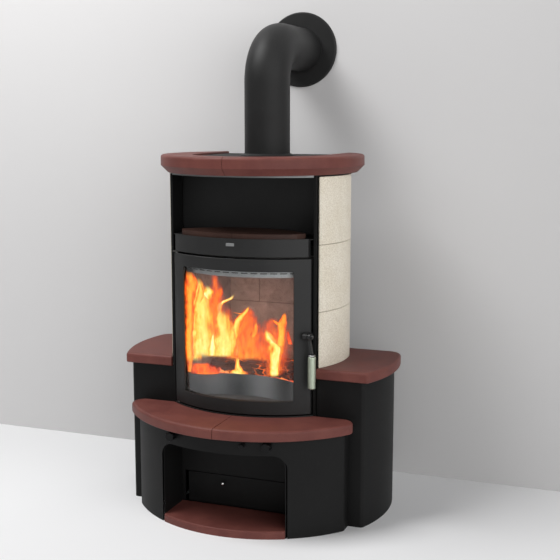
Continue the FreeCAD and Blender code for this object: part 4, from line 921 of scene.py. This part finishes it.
# Flames: each has a depth, a heat from 0, red, to 1, pale yellow, and a line of places across, up and wide;
# a soft one is the glow behind the tongues
flameSizes = [
    {"depth": -0.224, "heat": 0.62, "line": [
        (-0.186, 0.482, 0.022), (-0.187, 0.562, 0.026), (-0.185, 0.647, 0.027), (-0.182, 0.710, 0.031),
        (-0.177, 0.752, 0.036), (-0.186, 0.795, 0.010)]},
    {"depth": -0.222, "heat": 0.55, "soft": 0.5, "line": [
        (-0.188, 0.452, 0.012), (-0.186, 0.480, 0.024), (-0.184, 0.530, 0.030), (-0.184, 0.600, 0.020)]},
    {"depth": -0.212, "heat": 0.78, "line": [
        (-0.170, 0.487, 0.036), (-0.173, 0.548, 0.040), (-0.168, 0.621, 0.034), (-0.158, 0.680, 0.021),
        (-0.149, 0.723, 0.017), (-0.155, 0.756, 0.003)]},
    {"depth": -0.198, "heat": 1.00, "line": [
        (-0.149, 0.505, 0.064), (-0.153, 0.555, 0.075), (-0.155, 0.602, 0.073), (-0.148, 0.649, 0.054),
        (-0.145, 0.679, 0.039), (-0.139, 0.704, 0.041), (-0.126, 0.722, 0.028), (-0.135, 0.744, 0.003)]},
    {"depth": -0.200, "heat": 1.00, "line": [
        (-0.117, 0.508, 0.024), (-0.117, 0.546, 0.020), (-0.111, 0.585, 0.003)]},
    {"depth": -0.165, "heat": 0.98, "line": [
        (-0.100, 0.501, 0.058), (-0.091, 0.549, 0.061), (-0.089, 0.584, 0.051), (-0.101, 0.617, 0.034),
        (-0.106, 0.646, 0.023), (-0.102, 0.672, 0.019), (-0.086, 0.686, 0.017), (-0.066, 0.696, 0.013),
        (-0.048, 0.714, 0.003)]},
    {"depth": -0.160, "heat": 0.52, "line": [
        (-0.119, 0.615, 0.026), (-0.127, 0.656, 0.024), (-0.122, 0.686, 0.026), (-0.107, 0.709, 0.024),
        (-0.100, 0.734, 0.003)]},
    {"depth": -0.155, "heat": 0.80, "line": [
        (-0.068, 0.532, 0.047), (-0.056, 0.588, 0.028), (-0.041, 0.625, 0.022), (-0.025, 0.645, 0.021),
        (-0.013, 0.658, 0.012), (-0.004, 0.675, 0.002)]},
    {"depth": -0.153, "heat": 0.62, "line": [
        (-0.023, 0.645, 0.014), (-0.043, 0.647, 0.009), (-0.062, 0.649, 0.002)]},
    {"depth": -0.150, "heat": 0.80, "line": [
        (-0.047, 0.502, 0.030), (-0.043, 0.533, 0.019), (-0.037, 0.559, 0.003)]},
    {"depth": -0.135, "heat": 0.66, "line": [
        (0.005, 0.501, 0.042), (0.000, 0.542, 0.032), (0.008, 0.581, 0.022), (0.013, 0.621, 0.003)]},
    {"depth": -0.160, "heat": 0.85, "line": [
        (-0.030, 0.448, 0.025), (-0.041, 0.475, 0.013), (-0.039, 0.501, 0.003)]},
    {"depth": -0.160, "heat": 0.90, "line": [
        (0.086, 0.446, 0.033), (0.087, 0.473, 0.026), (0.090, 0.512, 0.038), (0.092, 0.545, 0.046),
        (0.078, 0.565, 0.035), (0.066, 0.583, 0.025), (0.056, 0.602, 0.003)]},
    {"depth": -0.156, "heat": 0.64, "line": [
        (0.099, 0.545, 0.029), (0.104, 0.579, 0.022), (0.109, 0.613, 0.025), (0.114, 0.638, 0.020),
        (0.121, 0.663, 0.003)]},
    {"depth": -0.158, "heat": 0.58, "line": [
        (0.110, 0.618, 0.022), (0.091, 0.627, 0.014), (0.078, 0.635, 0.002)]},
    {"depth": -0.150, "heat": 0.30, "line": [
        (0.135, 0.555, 0.014), (0.130, 0.578, 0.011), (0.128, 0.601, 0.003)]},
    {"depth": -0.150, "heat": 0.80, "line": [
        (-0.052, 0.452, 0.014), (-0.049, 0.480, 0.009), (-0.050, 0.505, 0.002)]},
    {"depth": -0.158, "heat": 0.85, "line": [
        (-0.044, 0.447, 0.070), (-0.044, 0.453, 0.060), (-0.040, 0.460, 0.020)]},
    {"depth": -0.206, "heat": 0.82, "soft": 0.3, "line": [
        (-0.146, 0.500, 0.072), (-0.146, 0.580, 0.074), (-0.150, 0.650, 0.066), (-0.154, 0.710, 0.048),
        (-0.164, 0.770, 0.016)]},
    {"depth": -0.170, "heat": 0.84, "soft": 0.3, "line": [
        (-0.096, 0.500, 0.110), (-0.088, 0.550, 0.110), (-0.084, 0.590, 0.080), (-0.096, 0.660, 0.030)]},
    {"depth": -0.168, "heat": 0.42, "soft": 0.8, "line": [
        (-0.110, 0.560, 0.110), (-0.108, 0.640, 0.090), (-0.114, 0.710, 0.050), (-0.124, 0.785, 0.010)]},
    {"depth": -0.138, "heat": 0.46, "soft": 0.4, "line": [
        (-0.018, 0.490, 0.170), (-0.018, 0.550, 0.150), (-0.020, 0.610, 0.090), (-0.014, 0.670, 0.012)]},
    {"depth": -0.136, "heat": 0.40, "soft": 0.9, "line": [
        (0.046, 0.490, 0.120), (0.056, 0.540, 0.110), (0.066, 0.600, 0.080), (0.070, 0.640, 0.024)]},
    {"depth": -0.152, "heat": 0.42, "soft": 0.9, "line": [
        (0.078, 0.447, 0.060), (0.082, 0.480, 0.080), (0.088, 0.540, 0.090), (0.100, 0.620, 0.060)]},
    {"depth": -0.198, "heat": 0.44, "soft": 0.2, "line": [
        (-0.136, 0.446, 0.092), (-0.144, 0.460, 0.080), (-0.160, 0.484, 0.040)]},
]
# Tongues behind fanFrom are turned by fan to either side, all others face the photo's camera
flameDetail = {
    "columns": 12, "rows": 36, "bow": 0.2, "bowBack": 0.3, "turn": 20.66, "fan": 24.0, "fanFrom": -0.17,
    "spread": 1.4, "narrowest": 0.001,
}


def onLine(places, share):  # smooth line through the given places
    spans = len(places) - 1
    span = min(int(share * spans), spans - 1)
    part = share * spans - span
    here = Vector(places[span])
    there = Vector(places[span + 1])
    before = Vector(places[span - 1]) if span else here * 2 - there
    after = Vector(places[span + 2]) if span + 2 <= spans else there * 2 - here
    return 0.5 * (2 * here + (there - before) * part + (2 * before - 5 * here + 4 * there - after) * part ** 2
                  + (3 * here - before - 3 * there + after) * part ** 3)


def flameTongues(items):
    columns = flameDetail["columns"]
    rows = flameDetail["rows"]
    verts = []
    faces = []
    places = []
    for index, item in enumerate(items):
        fanned = item["depth"] > flameDetail["fanFrom"] and "soft" not in item
        fan = flameDetail["fan"] * (-1) ** index if fanned else 0.0
        spread = flameDetail["spread"] / math.cos(math.radians(fan))
        turn = math.radians(flameDetail["turn"] + fan)
        right = Vector((math.cos(turn), math.sin(turn), 0))
        deep = Vector((-math.sin(turn), math.cos(turn), 0))
        faces += gridFaces(rows + 1, columns + 1, first=len(verts))
        for row in range(rows + 1):
            x, z, width = onLine(item["line"], row / rows)
            width = max(width, flameDetail["narrowest"]) * spread
            for column in range(columns + 1):
                across = column / columns - 0.5
                bow = width * flameDetail["bow"] * (across * across * 4 - flameDetail["bowBack"])
                verts.append(Vector((x, item["depth"], z)) + right * (across * width) + deep * bow)
                places.append((column / columns, row / rows, item["heat"], item.get("soft", 0.0)))
    mesh = meshOf("flames", verts, faces, smooth=True)
    sheet = mesh.uv_layers.new(name="flame")
    heat = mesh.uv_layers.new(name="heat")
    for loop in mesh.loops:
        across, up, warm, soft = places[loop.vertex_index]
        sheet.data[loop.index].uv = (across, up)
        heat.data[loop.index].uv = (warm, soft)
    placePiece("flames", mesh, "flameSheet", "stove")


flameTongues(flameSizes)
print("flames made:", len(flameSizes))

# Floor, wall, light and camera

stageSizes = {
    "floorHalf": 6.0, "wallY": 0.3376, "wallHalf": 6.0, "wallTop": 5.0, "floorTone": (244, 244, 245),
    "wallTone": (204, 203, 203), "patchScale": 2.0, "patches": 0.06, "patchColour": (0.5, 0.5, 0.5, 1.0),
}


def stageSheet(name, corners, tone, oneSided):
    sheet = putIn(name, meshOf(name, corners, [(0, 1, 2, 3)]))
    paint = Paint(name)
    patch = paint.grain(stageSizes["patchScale"], 2.0) * stageSizes["patches"]
    paint.set(colour=paint.mix(patch, tone, stageSizes["patchColour"]), rough=0.9, shine=0.1)
    if oneSided:  # seen from behind, the wall lets the stove show
        paint.set(alpha=1 - paint.add("ShaderNodeNewGeometry", out="Backfacing"))
        sheet.visible_shadow = False
        sheet.visible_diffuse = False
    sheet.data.materials.append(paint.material)


half = stageSizes["floorHalf"]
stageSheet("floor", [(-half, -half, 0.0), (half, -half, 0.0), (half, half, 0.0), (-half, half, 0.0)],
           stageSizes["floorTone"], False)
half, wallY, wallTop = stageSizes["wallHalf"], stageSizes["wallY"], stageSizes["wallTop"]
stageSheet("wall", [(-half, wallY, 0.0), (half, wallY, 0.0), (half, wallY, wallTop), (-half, wallY, wallTop)],
           stageSizes["wallTone"], True)

lampSizes = [
    {"name": "keyLight", "kind": "AREA", "place": (-1.5, -1.2, 4.0), "aim": (0.0, 0.0, 0.4), "size": 1.6,
     "power": 122.0},
    {"name": "backLight", "kind": "AREA", "place": (1.5, 3.4, 2.6), "aim": (0.0, 0.0, 0.8), "size": 2.4,
     "power": 16.0},
    {"name": "fireLight", "kind": "POINT", "place": (-0.05, -0.07, 0.60), "size": 0.05, "power": 0.9,
     "colour": (1.0, 0.60, 0.46)},
]
for item in lampSizes:
    lamp = bpy.data.lights.new(item["name"], item["kind"])
    lamp.energy = item["power"]
    holder = putIn(item["name"], lamp)
    holder.location = item["place"]
    if item["kind"] == "AREA":
        aim = Vector(item["aim"]) - Vector(item["place"])
        holder.rotation_euler = aim.to_track_quat("-Z", "Y").to_euler()
        lamp.size = item["size"]
    else:  # the fire's light falls on the bricks and is not seen itself
        lamp.shadow_soft_size = item["size"]
        lamp.color = item["colour"]
        holder.visible_camera = False
        holder.visible_glossy = False
        holder.visible_transmission = False

skySizes = {
    "low": 0.16, "high": 2.3, "towards": (0.80, -0.58, 0.12), "from": 0.55, "to": 1.0,
    "colour": (1.0, 1.0, 1.0, 1.0),
}
world = bpy.data.worlds.new("studio")
world.use_nodes = True
sky = Board(world.node_tree)
facing = sky.add("ShaderNodeVectorMath", {"operation": "DOT_PRODUCT"},
                 {0: sky.add("ShaderNodeTexCoord", out="Generated"), 1: skySizes["towards"]}, "Value")
backdrop = world.node_tree.nodes["Background"]
brighter = facing.over(skySizes["from"], skySizes["to"]) * (skySizes["high"] - skySizes["low"])
sky.feed(backdrop.inputs["Strength"], brighter + skySizes["low"])
sky.feed(backdrop.inputs["Color"], skySizes["colour"])
scene.world = world
scene.view_settings.view_transform = "Standard"

cameraSizes = {
    "place": (1.2627, -3.2304, 1.2752), "yaw": 20.66, "pitch": 8.82, "lens": 67.03, "sensor": 36.0,
    "near": 0.05, "far": 60.0,
}
lens = bpy.data.cameras.new("photoCamera")
lens.lens = cameraSizes["lens"]
lens.sensor_width = cameraSizes["sensor"]
lens.clip_start = cameraSizes["near"]
lens.clip_end = cameraSizes["far"]
camera = putIn("photoCamera", lens)
camera.location = cameraSizes["place"]
camera.rotation_euler = (math.radians(90 - cameraSizes["pitch"]), 0.0, math.radians(cameraSizes["yaw"]))
scene.camera = camera
print("stage set")
